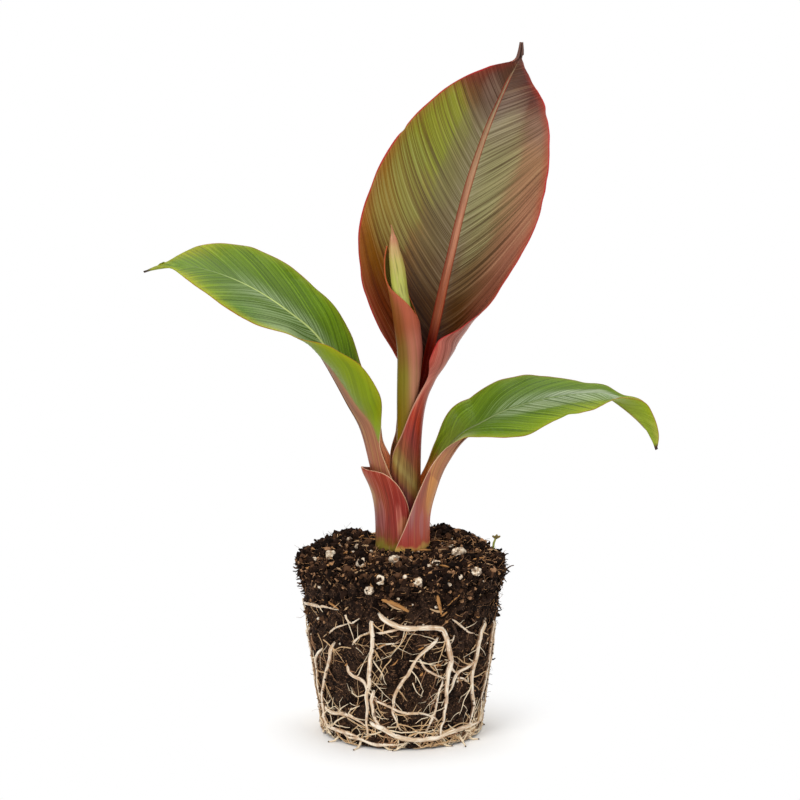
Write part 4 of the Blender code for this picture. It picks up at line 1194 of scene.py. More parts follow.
class Pile:
    """Many small shapes gathered into one mesh."""

    def __init__(self):
        self.points, self.tris, self.quads, self.ti, self.qi, self.count = [], [], [], [], [], 0

    def add(self, points, tris=None, quads=None, index=0):
        points = np.asarray(points, float).reshape(-1, 3)
        if tris is not None and len(tris):
            self.tris.append(np.asarray(tris) + self.count)
            self.ti.append(np.broadcast_to(index, len(tris)))
        if quads is not None and len(quads):
            self.quads.append(np.asarray(quads) + self.count)
            self.qi.append(np.broadcast_to(index, len(quads)))
        self.points.append(points)
        self.count += len(points)

    def scatter(self, shape, where, size, rotation, index):
        """Copies of a shape; where (n, 3), size (n) or (n, 3), index (n)."""
        base, faces = shape
        n = len(where)
        if not n:
            return
        size = np.asarray(size, float)
        size = size[:, None, None] if size.ndim == 1 else size[:, None, :]
        p = np.einsum("nij,nvj->nvi", rotation, base[None] * size) + where[:, None]
        f = faces[None] + (np.arange(n) * len(base))[:, None, None]
        self.add(p, tris=f.reshape(-1, 3), index=np.repeat(index, len(faces)))

    def make(self, name, materials, floor=0.25, even=True):
        p = np.concatenate(self.points)
        p[:, 2] = np.maximum(p[:, 2], floor)
        faces, index = [], []
        if self.tris:
            faces.append(np.concatenate(self.tris))
            index.append(np.concatenate(self.ti))
        if self.quads:
            faces.append(np.concatenate(self.quads))
            index.append(np.concatenate(self.qi))
        return mesh_object(name, p, faces, materials, index=np.concatenate(index), even=even)


def tube(path, radius, sides, flat=1.0, seed=0, cap=True):
    """Points and faces of a closed tube along a path."""
    path = np.asarray(path, float)
    n = len(path)
    tangent = unit(np.gradient(path, axis=0))
    out = path.copy()
    out[:, 2] = 0
    out = unit(out + [1e-6, 0, 0])
    a = unit(np.cross(tangent, out))
    b = np.cross(a, tangent)
    t = np.linspace(0, TAU, sides, endpoint=False) + seed
    r = np.broadcast_to(radius, n)[:, None, None]
    ring = path[:, None] + r * (np.cos(t)[None, :, None] * a[:, None] + flat * np.sin(t)[None, :, None] * b[:, None])
    grid = np.arange(n * sides).reshape(n, sides)
    nxt = np.roll(grid, -1, axis=1)
    quads = np.stack([grid[:-1], nxt[:-1], nxt[1:], grid[1:]], -1).reshape(-1, 4)
    points = np.concatenate([ring.reshape(-1, 3), [path[0], path[-1]]])
    k = n * sides
    tris = np.concatenate([
        np.stack([nxt[0], grid[0], np.full(sides, k)], -1),
        np.stack([grid[-1], nxt[-1], np.full(sides, k + 1)], -1),
    ])
    return points, tris, quads


def polar(angle, radius, z):
    a = np.radians(angle)
    return np.stack(np.broadcast_arrays(radius * np.cos(a), radius * np.sin(a), z), -1)


SOIL = [
    plain("peat black", (0.008, 0.004, 0.0027), 0.95, Specular_IOR_Level=0.08),
    plain("peat dark", (0.024, 0.0115, 0.007), 0.95, Specular_IOR_Level=0.08),
    plain("peat brown", (0.092, 0.043, 0.021), 0.92, Specular_IOR_Level=0.12),
    plain("peat tan", (0.36, 0.19, 0.093), 0.85, Specular_IOR_Level=0.25),
    plain("bark orange", (0.50, 0.26, 0.11), 0.8, Specular_IOR_Level=0.3),
]
SHARES = [0.34, 0.28, 0.18, 0.14, 0.06]


def soil_mix(rng, n, shares=SHARES):
    return rng.choice(len(shares), size=n, p=np.array(shares) / np.sum(shares))


def on_top(rng, n, outer=50.0, inner=10.5):
    r = np.sqrt(rng.uniform(inner**2, outer**2, n))
    a = rng.uniform(0, TAU, n)
    x, y = r * np.cos(a), r * np.sin(a)
    return x, y, soil_top(x, y)


def ragged_shapes(times, count, seed, rough):
    """Angular crumbs: a low ball whose corners are pulled in and out by chance."""
    shapes = []
    base, faces = icosphere(times)
    for k in range(count):
        rng = np.random.default_rng(seed + k)
        r = 1 + rng.uniform(-rough, rough, len(base))
        if times:
            r = r + 0.35 * lumps(base, 1.0, seed + 50 + k)
        stretch = rng.uniform(0.6, 1.25, 3)
        shapes.append((base * np.clip(r, 0.4, 1.6)[:, None] * stretch, faces))
    return shapes


def clods(rng, x, y, size, spread):
    """Gathers points into loose clusters of about this size."""
    shift = rng.normal(0, 1, (len(x), 2)) * spread
    cell = np.round(np.stack([x, y], -1) / size) * size
    mix = rng.uniform(0, 0.55, len(x))[:, None]
    p = np.stack([x, y], -1) * (1 - mix) + (cell + shift) * mix
    return p[:, 0], p[:, 1]


def crumbs_on_top():
    rng = np.random.default_rng(7)
    pile = Pile()
    many = 1.0
    for shape in ragged_shapes(0, 8, 200, 0.4):
        n = int(560 * many)
        x, y, z = on_top(rng, n, 50.4)
        x, y = clods(rng, x, y, 3.4, 0.9)
        keep = np.hypot(x, y) < 50.6
        x, y = x[keep], y[keep]
        n, z = len(x), soil_top(x, y)
        size = rng.gamma(5, 0.13, n).clip(0.3, 1.25)
        place = np.stack([x, y, z], -1)
        heap = 1.9 * smooth(lumps(place, 4.2, 71), 0.1, 1.2) - 0.6
        place[:, 2] += heap + rng.uniform(-0.5, 0.9, n) * size
        pile.scatter(shape, place, size, turns(rng, n), soil_mix(rng, n))
    for shape in ragged_shapes(1, 6, 230, 0.24):
        n = int(125 * many)
        x, y, z = on_top(rng, n, 49.6, 12.5)
        size = rng.gamma(6, 0.21, n).clip(0.7, 2.1)
        front = (y < -6) & (np.hypot(x, y) < 19)
        size = np.where(front, size * 0.6, size)
        pile.scatter(shape, np.stack([x, y, z + rng.uniform(-0.3, 0.35, n) * size], -1), size, turns(rng, n),
                     soil_mix(rng, n, [5, 5, 1.3]))
    # looser lumps heaped on the mounds at either side of the stem
    for mx, my, height, size in MOUNDS[:4]:
        for shape in ragged_shapes(1, 5, 240, 0.26):
            n = 7
            x = mx + rng.normal(0, size * 0.8, n)
            y = my + rng.normal(0, size * 0.8, n)
            keep = np.hypot(x, y) < 48
            x, y = x[keep], y[keep]
            s = rng.uniform(0.9, 2.2, len(x))
            pile.scatter(shape, np.stack([x, y, soil_top(x, y) + 0.55 * s], -1), s, turns(rng, len(x)),
                         soil_mix(rng, len(x), [4, 5, 1.5, 0.2]))
    # a thin collar of fine crumbs where the sheaths leave the soil
    for shape in ragged_shapes(0, 4, 250, 0.4):
        n = int(80 * many)
        a = rng.uniform(0, TAU, n)
        r = rng.uniform(13.0, 17.5, n)
        x, y = r * np.cos(a), r * 0.98 * np.sin(a)
        s = rng.uniform(0.3, 0.8, n)
        pile.scatter(shape, np.stack([x, y, soil_top(x, y) + 0.1 * s], -1), s, turns(rng, n), soil_mix(rng, n))
    return pile.make("crumbs_top", SOIL, even=False)


def crumbs_on_side():
    rng = np.random.default_rng(8)
    many = 1.0
    pile = Pile()
    for shape in ragged_shapes(0, 9, 260, 0.4):
        n = int(420 * many)
        z = rng.uniform(0.0, 1.0, n) ** 0.72 * 88
        upper = smooth(z, 52, 72)
        size = rng.gamma(4, 0.125, n).clip(0.22, 1.15) * (0.75 + 0.35 * upper)
        a = rng.uniform(-180, 180, n)
        base = polar(a, wall(z), z)
        heap = 1.2 * smooth(lumps(base, 4.0, 81), -0.1, 1.1) - 0.6
        r = wall(z) - 0.15 + heap * (0.45 + 0.55 * upper) + rng.uniform(-0.4, 0.75, n) * size
        pile.scatter(shape, polar(a, r, z), size, turns(rng, n), soil_mix(rng, n, [5, 4, 2.4, 0.7, 0.3]))
    # clumps that stand out round the rim
    for k in range(30):
        a, z = -180 + 12 * k + rng.uniform(-5, 5), rng.uniform(76, 88)
        spread = rng.uniform(1.6, 3.0)
        out = rng.uniform(0.6, 1.7)
        for shape in ragged_shapes(0, 4, 330, 0.4):
            n = 9
            aside, up = rng.normal(0, spread, n), rng.normal(0, spread * 0.8, n)
            stand = out * np.exp(-(aside**2 + up**2) / (2 * spread**2)) + rng.uniform(-0.3, 0.5, n)
            z_of = np.minimum(z + up, 90)
            pile.scatter(shape, polar(a + aside * 1.15, wall(z_of) + stand, z_of), rng.gamma(5, 0.16, n).clip(0.4, 1.5),
                         turns(rng, n), soil_mix(rng, n, [5, 4, 2, 1, 0.4]))
    # soil that clings along both sides of the thick roots
    for path, radius in ROOT_RUNS:
        for shape in ragged_shapes(0, 2, 350, 0.4):
            n = int(len(path) * 0.25 * many)
            pick = rng.integers(1, len(path) - 1, n)
            along = unit(path[pick + 1] - path[pick - 1])
            out = unit(path[pick] * [1.0, 1.0, 0.0])
            aside = np.cross(along, out) * rng.choice([-1, 1], n)[:, None]
            place = path[pick] + aside * radius * rng.uniform(0.7, 1.15, n)[:, None] + out * radius * rng.uniform(0.0, 0.7, n)[:, None]
            pile.scatter(shape, place, rng.uniform(0.22, 0.62, n), turns(rng, n), soil_mix(rng, n, [4, 4, 3, 1, 0.4]))
    # ragged lumps on the upper side and round the rim
    for shape in ragged_shapes(1, 6, 300, 0.26):
        n = int(100 * many)
        z = 89 - rng.exponential(9, n).clip(0, 30)
        size = rng.gamma(5, 0.21, n).clip(0.5, 1.9)
        r = wall(z) - 0.2 + rng.uniform(-0.6, 0.55, n) * size
        pile.scatter(shape, polar(rng.uniform(-180, 180, n), r, z), size, turns(rng, n), soil_mix(rng, n, [4, 5, 1.5, 0.1, 0]))
    return pile.make("crumbs_side", SOIL, even=False)


def fibres():
    """Bent slivers of peat fibre lying in the soil, and tufts that stick out."""
    rng = np.random.default_rng(9)
    pile = Pile()
    many = 1.0

    def sliver(start, direction, length, radius, curl, index, sides=3, steps=6):
        p, d, path = np.array(start, float), unit(np.array(direction, float)), []
        for _ in range(steps + 1):
            path.append(p.copy())
            p = p + d * length / steps
            d = unit(d + rng.normal(0, curl, 3))
        taper = np.linspace(1, 0.35, steps + 1) * radius
        points, tris, quads = tube(path, taper, sides)
        pile.add(points, tris, quads, index)

    for _ in range(int(900 * many)):
        x, y, z = on_top(rng, 1, 49.8, 13.5)
        a = rng.uniform(0, TAU)
        sliver((x[0], y[0], z[0] + rng.uniform(0.3, 1.7)), (math.cos(a), math.sin(a), rng.normal(-0.02, 0.2)),
               min(max(rng.gamma(3, 1.5), 1.5), 10), rng.uniform(0.10, 0.24), rng.uniform(0.2, 0.42),
               soil_mix(rng, 1, [1.5, 3, 4, 3.2, 2.0])[0])
    for _ in range(int(1250 * many)):
        z = rng.uniform(0, 1) ** 0.6 * 87 + 1
        a = rng.uniform(0, 360)
        t = math.radians(a)
        lean = rng.normal(0, 0.8)
        d = np.array([-math.sin(t), math.cos(t), lean]) * rng.choice([-1, 1])
        d += np.array([math.cos(t), math.sin(t), 0]) * rng.normal(0.0, 0.16)
        upper = 0.4 * float(smooth(z, 55, 72))
        sliver(polar(a, wall(z) + rng.uniform(0.0, 0.8) + upper, z), d, min(max(rng.gamma(3, 1.3), 1.2), 8),
               rng.uniform(0.08, 0.2), rng.uniform(0.2, 0.42), soil_mix(rng, 1, [1.2, 3, 4, 3, 2.0])[0])
    # short hairs and specks standing off the side
    for _ in range(int(200 * many)):
        z = rng.uniform(3, 90)
        a = rng.uniform(0, 360)
        t = math.radians(a)
        d = np.array([math.cos(t), math.sin(t), rng.normal(0, 0.6)])
        sliver(polar(a, wall(z) - 0.3, z), d, rng.uniform(1.4, 3.6), rng.uniform(0.12, 0.3), 0.5,
               soil_mix(rng, 1, [4, 4, 3, 1, 0.4])[0], steps=4)
    # tufts of dark fibre at the upper edge
    for angle, z, count, reach in ((-176, 84, 7, 5.0), (-172, 78, 5, 4.0), (-4, 85, 6, 6.0), (-2, 80, 6, 6.5),
                                   (-5, 66, 3, 5), (178, 80, 5, 5), (2, 76, 4, 5), (-177, 71, 3, 4),
                                   (60, 83, 6, 5), (100, 80, 5, 5), (140, 84, 6, 5), (-179, 40, 2, 4), (1, 34, 2, 4)):
        for _ in range(count):
            a = angle + rng.normal(0, 2.5)
            t = math.radians(a)
            d = np.array([math.cos(t), math.sin(t) * 0.6, rng.normal(-0.2, 0.55)])
            sliver(polar(a, wall(z) - 0.6, z + rng.normal(0, 1.6)), d, reach * rng.uniform(0.5, 1.15),
                   rng.uniform(0.4, 0.9), 0.3, soil_mix(rng, 1, [4, 4, 2])[0], sides=5)
    return pile.make("peat_fibres", SOIL)


def bark():
    """Flat splinters of bark and straw: two long ones on the front, others by chance."""
    rng = np.random.default_rng(10)
    pile = Pile()

    def splinter(a0, z0, a1, z1, width, bend, index, lift=0.9):
        n = 12
        t = np.linspace(0, 1, n)
        a = a0 + (a1 - a0) * t
        z = z0 + (z1 - z0) * t + bend * np.sin(math.pi * t)
        path = polar(a, wall(z) + lift, z)
        points, tris, quads = tube(path, width * (np.sin(math.pi * (0.06 + 0.88 * t)) ** 0.6) *
                                   (1 + 0.25 * wander(t * 5, rng.integers(1000))), 6, 0.35)
        pile.add(points, tris, quads, index)

    splinter(-101, 78.5, -86, 72.5, 1.15, 0.8, 1)
    splinter(-98, 77.0, -90, 73.5, 0.5, -0.5, 0, 1.4)
    splinter(-70, 80, -67, 70, 1.0, 0.0, 1)
    splinter(-64, 74, -56, 79, 0.6, 0.3, 1)
    splinter(-74, 73.5, -66, 71.5, 0.6, -0.6, 0)
    splinter(-141, 74, -128, 71, 0.5, 0.6, 1)
    for _ in range(70):
        z = rng.uniform(35, 88)
        a = rng.uniform(-180, 180)
        h = rng.uniform(1.5, 5)
        tilt = rng.uniform(-1, 1)
        splinter(a, z, a + h * 1.1, z + tilt * h, rng.uniform(0.25, 0.6), rng.normal(0, 0.4),
                 int(rng.choice([0, 1, 2], p=[0.4, 0.35, 0.25])), rng.uniform(0.2, 0.9))
    for _ in range(60):
        x, y, z = (v[0] for v in on_top(rng, 1, 48, 15))
        d = rng.uniform(0, TAU)
        h = rng.uniform(1.5, 4)
        t = np.linspace(-1, 1, 8)
        path = np.stack([x + h * t * math.cos(d), y + h * t * math.sin(d), z + 1.0 + 0.3 * np.cos(t)], -1)
        points, tris, quads = tube(path, rng.uniform(0.25, 0.7) * (1.05 - t**2) ** 0.5, 6, 0.4)
        pile.add(points, tris, quads, int(rng.choice([0, 1, 2], p=[0.4, 0.25, 0.35])))
    shades = [plain("straw pale", (0.52, 0.33, 0.17), 0.75), plain("straw orange", (0.42, 0.19, 0.05), 0.75),
              plain("bark brown", (0.17, 0.08, 0.035), 0.85)]
    return pile.make("bark_and_straw", shades)


# perlite: (x, y, radius) on the soil, and (angle, height, radius) on the side
PERLITE_TOP = [(-35, -10, 2.6), (-20, -29, 2.8), (-3.5, -26, 2.6), (28, -9, 3.0), (17, -28, 1.9), (13, -32, 1.2),
               (-30, 12, 1.3), (-26, 16, 1.2), (14, 38, 1.3), (43, 20, 1.0), (-43, -10, 1.2), (24, 2, 1.2)]
PERLITE_SIDE = [(-101, 88, 2.4), (-81, 87.5, 2.4), (-108, 82.5, 2.4), (-45, 89, 2.6), (-56, 88, 1.2), (-63, 85, 1.2),
                (-143, 80, 0.9), (-70, 74, 0.8), (-30, 82, 0.8), (-88, 90, 0.9)]


def perlite():
    rng = np.random.default_rng(11)
    pile = Pile()
    base, faces = icosphere(3)
    small, small_faces = icosphere(1)

    def grain(where, r, seed, hole=False):
        local = np.random.default_rng(seed)
        v, f = (base, faces) if r > 1.5 else icosphere(2)
        shape = 1 + 0.20 * lumps(v, 1.2, seed) + 0.10 * lumps(v, 0.5, seed + 1)
        for _ in range(9 if r > 1.5 else 4):
            pit = unit(local.normal(size=3))
            shape = shape - 0.28 * np.exp(-((1 - v @ pit) / local.uniform(0.02, 0.06)) ** 2)
        if hole:
            look = unit(np.array([local.normal(0, 0.25), -0.9, local.uniform(0.2, 0.6)]))
            shape = shape * (1 - 0.75 * smooth(v @ look + 0.06 * lumps(v, 0.4, seed + 2), 0.78, 0.95))
        turn = turns(local, 1)[0] if not hole else np.eye(3)
        p = (v * shape[:, None] * r * np.array([1, 1, 0.88])) @ turn.T + np.asarray(where)
        pile.add(p, tris=f, index=0)

    for k, (x, y, r) in enumerate(PERLITE_TOP):
        z = float(soil_top(np.array(x), np.array(y)))
        grain((x, y, z + 0.42 * r), r, 400 + k, hole=r > 1.5)
    for k, (a, z, r) in enumerate(PERLITE_SIDE):
        grain(polar(a, wall(z) + 0.25 * r, z), r, 430 + k, hole=r > 1.5)
    for k in range(26):
        x, y, z = (v[0] for v in on_top(rng, 1, 49, 14))
        r = rng.uniform(0.4, 1.0) if k % 6 else rng.uniform(1.2, 1.6)
        if y > -5:
            grain((x, y, z + 0.5 + 0.4 * r), r, 460 + k)
        else:
            grain((x, y, z + 0.6), min(r, 0.8), 460 + k)
    for k in range(30):
        a, z = rng.uniform(-180, 180), rng.uniform(30, 88)
        r = rng.uniform(0.35, 0.8) if -170 < a < -10 or k % 3 else rng.uniform(1.6, 2.4)
        grain(polar(a, wall(z) + 0.2 * r, z), r, 500 + k)
    g = Graph("perlite")
    place = g.place()
    n = g.noise(place, 700, 2.0, 0.6)
    coarse = g.noise(place, 330, 2.0, 0.6)
    colour = g.mix(g.span(n, 0.36, 0.6), (0.46, 0.32, 0.20), (0.86, 0.74, 0.58))
    colour = g.mix(g.mul(g.span(coarse, 0.52, 0.62), 0.8), colour, (0.13, 0.07, 0.04))
    material = g.finish(colour, 0.85, g.bump(g.add(n, coarse), 0.7, 0.0005))
    return pile.make("perlite_grains", [material])


# thick roots on the side of the ball: radius (mm), stations (angle, height)
ROOTS = [
    (1.45, (-103, 71), (-96, 66.4), (-87, 64.4), (-76, 64), (-67, 62.3), (-62, 57.2), (-60, 48), (-59, 39), (-60, 30), (-61, 18.5), (-63, 5)),
    (0.75, (-105, 61), (-96, 62.3), (-87, 63.9)),
    (1.3, (-107, 68.5), (-107, 54), (-109, 44), (-111, 34.4), (-113, 26.5), (-114, 14.8), (-113, 5)),
    (1.05, (-127, 42.2), (-123, 37.9), (-115, 35), (-112, 28)),
    (1.05, (-109, 31), (-109, 19.4), (-105, 12), (-98, 9)),
    (1.35, (-113, 13.8), (-105, 11.8), (-98, 9.5), (-86, 6.4), (-72, 5.3), (-58, 7), (-42, 8), (-22, 7), (-5, 10)),
    (1.2, (-162, 12), (-151, 6), (-134, 6.6), (-122, 5), (-113, 3)),
    (0.9, (-134, 3.5), (-119, 4.3), (-106, 2.2), (-93, 2.7), (-84, 4.2)),
    (0.95, (-67, 57.6), (-77, 50.6), (-85, 42.6), (-90, 34.8), (-95, 25.3), (-96, 20), (-93, 13.8), (-91, 10)),
    (0.85, (-109, 26.8), (-98, 22.6), (-84, 19.5), (-72, 17.9), (-64, 13)),
    (1.0, (-34, 44), (-41, 41), (-53, 37.4), (-57, 29.5), (-60, 24)),
    (0.8, (-59, 50.7), (-57, 41), (-51, 37)),
    (1.3, (-30, 62), (-36, 55.5), (-37, 44.8), (-39, 36), (-38, 26.8), (-34, 17), (-37, 6), (-39, 1.9)),
    (0.6, (-59, 66.7), (-51, 60.4), (-39, 56.5)),
    (0.85, (-172, 66.5), (-160, 67.8), (-148, 69.3), (-138, 70.5), (-129, 70.2)),
    (1.1, (-136, 53), (-142, 39.7), (-150, 30), (-157, 19.4), (-157, 7), (-150, 3)),
    (1.0, (-152, 47), (-160, 38), (-163, 28), (-162, 17), (-158, 9)),
    (0.95, (-156, 16), (-146, 15), (-132, 15.8), (-119, 14), (-113, 11)),
    (0.8, (-8, 58), (-6, 44), (-3, 30), (-5, 17), (-8, 5)),
    (1.0, (-16, 60), (-19, 47), (-17, 33), (-21, 20), (-17, 9)),
    (0.55, (-126, 69.7), (-120, 65.2), (-114, 68.4)),
    (0.6, (-139, 57), (-129, 62), (-122, 65)),
    (0.65, (-79, 48.6), (-75, 42.7), (-68, 38), (-60, 35)),
    (0.7, (-62, 36), (-66, 26), (-68, 17), (-74, 8), (-76, 2)),
    (0.5, (-56, 59.6), (-59, 53)),
    (0.6, (-39, 31), (-50, 35), (-57, 36)),
    (0.55, (-121, 53), (-115, 58.5), (-108, 62)),
    (0.5, (-107, 52), (-98, 55), (-90, 56)),
]


def root_path(stations, radius, seed, spacing=0.9):
    table = np.array(stations, float)
    step = np.hypot(np.diff(table[:, 0]) * 0.78, np.diff(table[:, 1]))
    t = np.r_[0, np.cumsum(step)]
    s = np.linspace(0, t[-1], max(6, int(t[-1] / spacing)))
    if len(table) > 2:
        az = steady(t, table, s)
    else:
        az = np.stack([np.interp(s, t, table[:, k]) for k in (0, 1)], -1)
    a = az[:, 0] + 1.1 * wander(s / 7, seed, 2)
    z = az[:, 1] + 0.7 * wander(s / 8, seed + 1, 2)
    ends = smooth(s, 0, 3) * smooth(s, t[-1], t[-1] - 3)
    r = wall(z) + (0.55 * radius + 0.1) * ends + 0.35 * wander(s / 9, seed + 2) - 0.8 * (1 - ends)
    return polar(a, r, np.maximum(z, radius * 0.8 + 0.2)), s


ROOT_RUNS = []


def thick_roots():
    rng = np.random.default_rng(12)
    listed = [(row[0], row[1:]) for row in ROOTS]
    # the back and sides are woven the same way
    for k in range(26):
        angle = 5 + 180 * (k + rng.uniform(0, 1)) / 26
        z = rng.uniform(46, 70)
        stations = [(angle, z)]
        drift = rng.normal(0, 5)
        while z > 5:
            z -= rng.uniform(9, 14)
            angle += drift + rng.normal(0, 4)
            drift *= 0.6
            stations.append((angle, max(z, 2.5)))
        listed.append((rng.uniform(0.6, 1.45), stations))
    for k in range(9):
        angle, z = 10 + 165 * k / 9, rng.uniform(3, 12)
        stations = [(angle + 12 * j, z + rng.normal(0, 1.8)) for j in range(4)]
        listed.append((rng.uniform(0.8, 1.35), [(a, max(b, 2.5)) for a, b in stations]))
    for k in range(12):
        angle, z = rng.uniform(0, 180), rng.uniform(15, 60)
        lean = rng.uniform(-1.2, 1.2)
        listed.append((rng.uniform(0.5, 0.9), [(angle + 8 * j, max(z + 8 * lean * j + rng.normal(0, 1), 3)) for j in range(4)]))
    points, quads, tris, uvs_q, uvs_t, along, count = [], [], [], [], [], [], 0
    total = len(listed)
    for k, (radius, stations) in enumerate(listed):
        path, s = root_path(stations, radius, 600 + 5 * k)
        n = len(s)
        swell = 1 + 0.17 * wander(s / 7, 800 + k, 2) + 0.45 * np.clip(wander(s / 2.6, 900 + k) - 0.6, 0, 1)
        r = 0.92 * radius * swell * (0.45 + 0.55 * smooth(s, s[-1], s[-1] * 0.55)) * (0.6 + 0.4 * smooth(s, 0, 2.5))
        sides = 9 if radius > 0.9 else 7
        p, t, q = tube(path, r, sides, 1.0, rng.uniform(0, 1))
        points.append(p)
        quads.append(q + count)
        tris.append(t + count)
        low, high = (k + 0.04) / total, (k + 0.96) / total
        i, j = np.divmod(np.arange(len(q)), sides)
        u0, u1 = 0.02 + 0.96 * i / (n - 1), 0.02 + 0.96 * (i + 1) / (n - 1)
        v0, v1 = low + (high - low) * j / sides, low + (high - low) * (j + 1) / sides
        uvs_q.append(np.stack([np.stack([u0, v0], -1), np.stack([u0, v1], -1), np.stack([u1, v1], -1), np.stack([u1, v0], -1)], 1))
        j = np.arange(sides)
        v0, v1 = low + (high - low) * j / sides, low + (high - low) * (j + 1) / sides
        for edge, top, flip in ((0.015, 0.004, True), (0.985, 0.996, False)):
            a, b = (v1, v0) if flip else (v0, v1)
            uvs_t.append(np.stack([np.stack([0 * a + edge, a], -1), np.stack([0 * a + edge, b], -1),
                                   np.stack([0 * a + top, (a + b) / 2], -1)], 1))
        radial = p - np.r_[np.repeat(path, sides, axis=0), path[:1], path[-1:]]
        outward = unit(p * [1.0, 1.0, 0.0])
        along.append(np.stack([np.r_[np.repeat(s, sides), 0, s[-1]] + 37 * k,
                               np.r_[np.tile(np.arange(sides) / sides, n), 0, 0],
                               (unit(radial) * outward).sum(1)], -1))
        ROOT_RUNS.append((path, radius))
        count += len(p)
    g = Graph("thick roots")
    s, turn, facing = g.attr("LA")
    place = g.place()
    skin = g.noise(g.join(g.mul(s, 0.16), g.mul(g.math("SINE", g.mul(turn, TAU)), 1.6),
                          g.mul(g.math("COSINE", g.mul(turn, TAU)), 1.6)), 1.0, 3.0, 0.6)
    blotch = g.noise(place, 150, 3.0, 0.6)
    fine = g.noise(place, 800, 2.0, 0.6)
    node = g.noise(place, 240, 2.0, 0.5)
    colour = g.mix(g.span(skin, 0.38, 0.62), (0.66, 0.46, 0.28), (0.92, 0.82, 0.67))
    colour = g.mix(g.mul(g.span(blotch, 0.52, 0.66), 0.6), colour, (0.46, 0.24, 0.10))
    # dark brown rim where the root's surface turns away from the outside: partly soil crust, partly painted shade along
    # the root's edges
    rim = g.span(g.add(facing, g.mul(g.math("SUBTRACT", fine, 0.5), 0.9)), 0.60, 0.1)
    colour = g.mix(g.mul(rim, 0.9), colour, (0.24, 0.11, 0.045))
    colour = g.mix(g.mul(g.span(fine, 0.62, 0.74), 0.45), colour, (0.28, 0.14, 0.07))
    colour = g.mix(g.mul(g.span(node, 0.68, 0.74), 0.8), colour, (0.13, 0.06, 0.03))
    material = g.finish(colour, 0.6, g.bump(g.add(skin, fine), 0.25, 0.0003))
    return mesh_object("thick_roots", np.concatenate(points), [np.concatenate(quads), np.concatenate(tris)],
                       [material], uv=np.concatenate([np.concatenate(uvs_q).reshape(-1, 2), np.concatenate(uvs_t).reshape(-1, 2)]),
                       attrs={"LA": np.concatenate(along)})


def thin_roots():
    """Branching rootlets that run over the side, densest low down."""
    rng = np.random.default_rng(13)
    pile = Pile()
    many = 1.0

    def run(angle, z, heading, length, radius, depth, index):
        step, path, a, h = 1.3, [], angle, heading
        n = max(4, int(length / step))
        lift = rng.uniform(0.45, 1.1)
        for i in range(n):
            path.append(polar(a, wall(z) + lift + 0.25 * math.sin(i * 0.7 + angle), z))
            h += rng.normal(0, 0.12)
            a += math.degrees(step * math.cos(h) / wall(z))
            z = z + step * math.sin(h)
            if z < 1.0 or z > 82:
                z, h = min(max(z, 1.0), 82), -h * 0.4
            if depth and i and rng.random() < 0.13:
                run(a, z, h + rng.choice([-1, 1]) * rng.uniform(0.5, 1.1), length * rng.uniform(0.25, 0.5),
                    radius * 0.65, depth - 1, index)
        taper = radius * (1 - 0.65 * np.linspace(0, 1, n) ** 1.5)
        points, tris, quads = tube(path, taper, 5 if radius > 0.3 else 4)
        pile.add(points, tris, quads, index)

    # rootlets leave the thick roots at a slant, more of them low down
    for path, radius in ROOT_RUNS:
        gone = 0.0
        for i in range(2, len(path) - 2):
            gone -= 0.9
            x, y, z = path[i]
            if gone > 0 or rng.random() > 0.55 - 0.3 * z / 88:
                continue
            gone = rng.uniform(1.5, 5.0) / many
            ahead = path[i + 1] - path[i - 1]
            aside = (-y * ahead[0] + x * ahead[1]) / math.hypot(x, y)
            heading = math.atan2(ahead[2], aside) + rng.choice([-1, 1]) * rng.uniform(0.5, 1.25)
            thick = rng.uniform(0.2, 0.42) * min(1.0, 0.55 + 0.4 * radius)
            run(math.degrees(math.atan2(y, x)), z, heading, min(max(rng.gamma(3, 3.4), 4), 24), thick, 2,
                rng.choice(4, p=[0.42, 0.36, 0.17, 0.05]))
    for k in range(int(75 * many)):
        z = rng.uniform(0, 1) ** 1.2 * 68 + 2
        heading = -math.pi / 2 + rng.normal(0, 0.9)
        run(rng.uniform(-180, 180), z, heading, rng.uniform(7, 26), rng.uniform(0.16, 0.34), 2,
            rng.choice(4, p=[0.34, 0.36, 0.2, 0.1]))
    # a tangle that circles the foot of the ball
    for k in range(int(58 * many)):
        heading = rng.choice([0, math.pi]) + rng.normal(0, 0.22)
        run(rng.uniform(-180, 180), rng.uniform(1.2, 8), heading, rng.uniform(14, 42), rng.uniform(0.25, 0.6), 1,
            rng.choice(4, p=[0.45, 0.35, 0.15, 0.05]))
    # root ends at the foot of the ball that reach on to the ground
    for angle in (-141, -116, -101, -86, -66, -42, -35, 20, 60, 95, 130, 165):
        a = angle + rng.normal(0, 2)
        t = math.radians(a)
        path, r, z = [], 38.5, rng.uniform(2.5, 5)
        turn, pace = rng.normal(0, 1.8), rng.uniform(0.25, 1.15)
        for i in range(9):
            path.append((r * math.cos(t), r * math.sin(t), z))
            r += pace * rng.uniform(0.7, 1.2)
            t += math.radians(turn)
            z = max(0.55, z - rng.uniform(0.3, 0.9))
        points, tris, quads = tube(path, np.linspace(0.75, 0.28, 9), 6)
        pile.add(points, tris, quads, 0)
        v, f = icosphere(1)
        pile.add(v * 0.42 + np.array(path[-1]), tris=f, index=3)
    return pile.make("thin_roots", [
        plain("rootlet cream", (0.88, 0.72, 0.50), 0.65), plain("rootlet tan", (0.66, 0.43, 0.22), 0.7),
        plain("rootlet brown", (0.32, 0.16, 0.075), 0.75), plain("rootlet dark", (0.08, 0.04, 0.022), 0.8)])


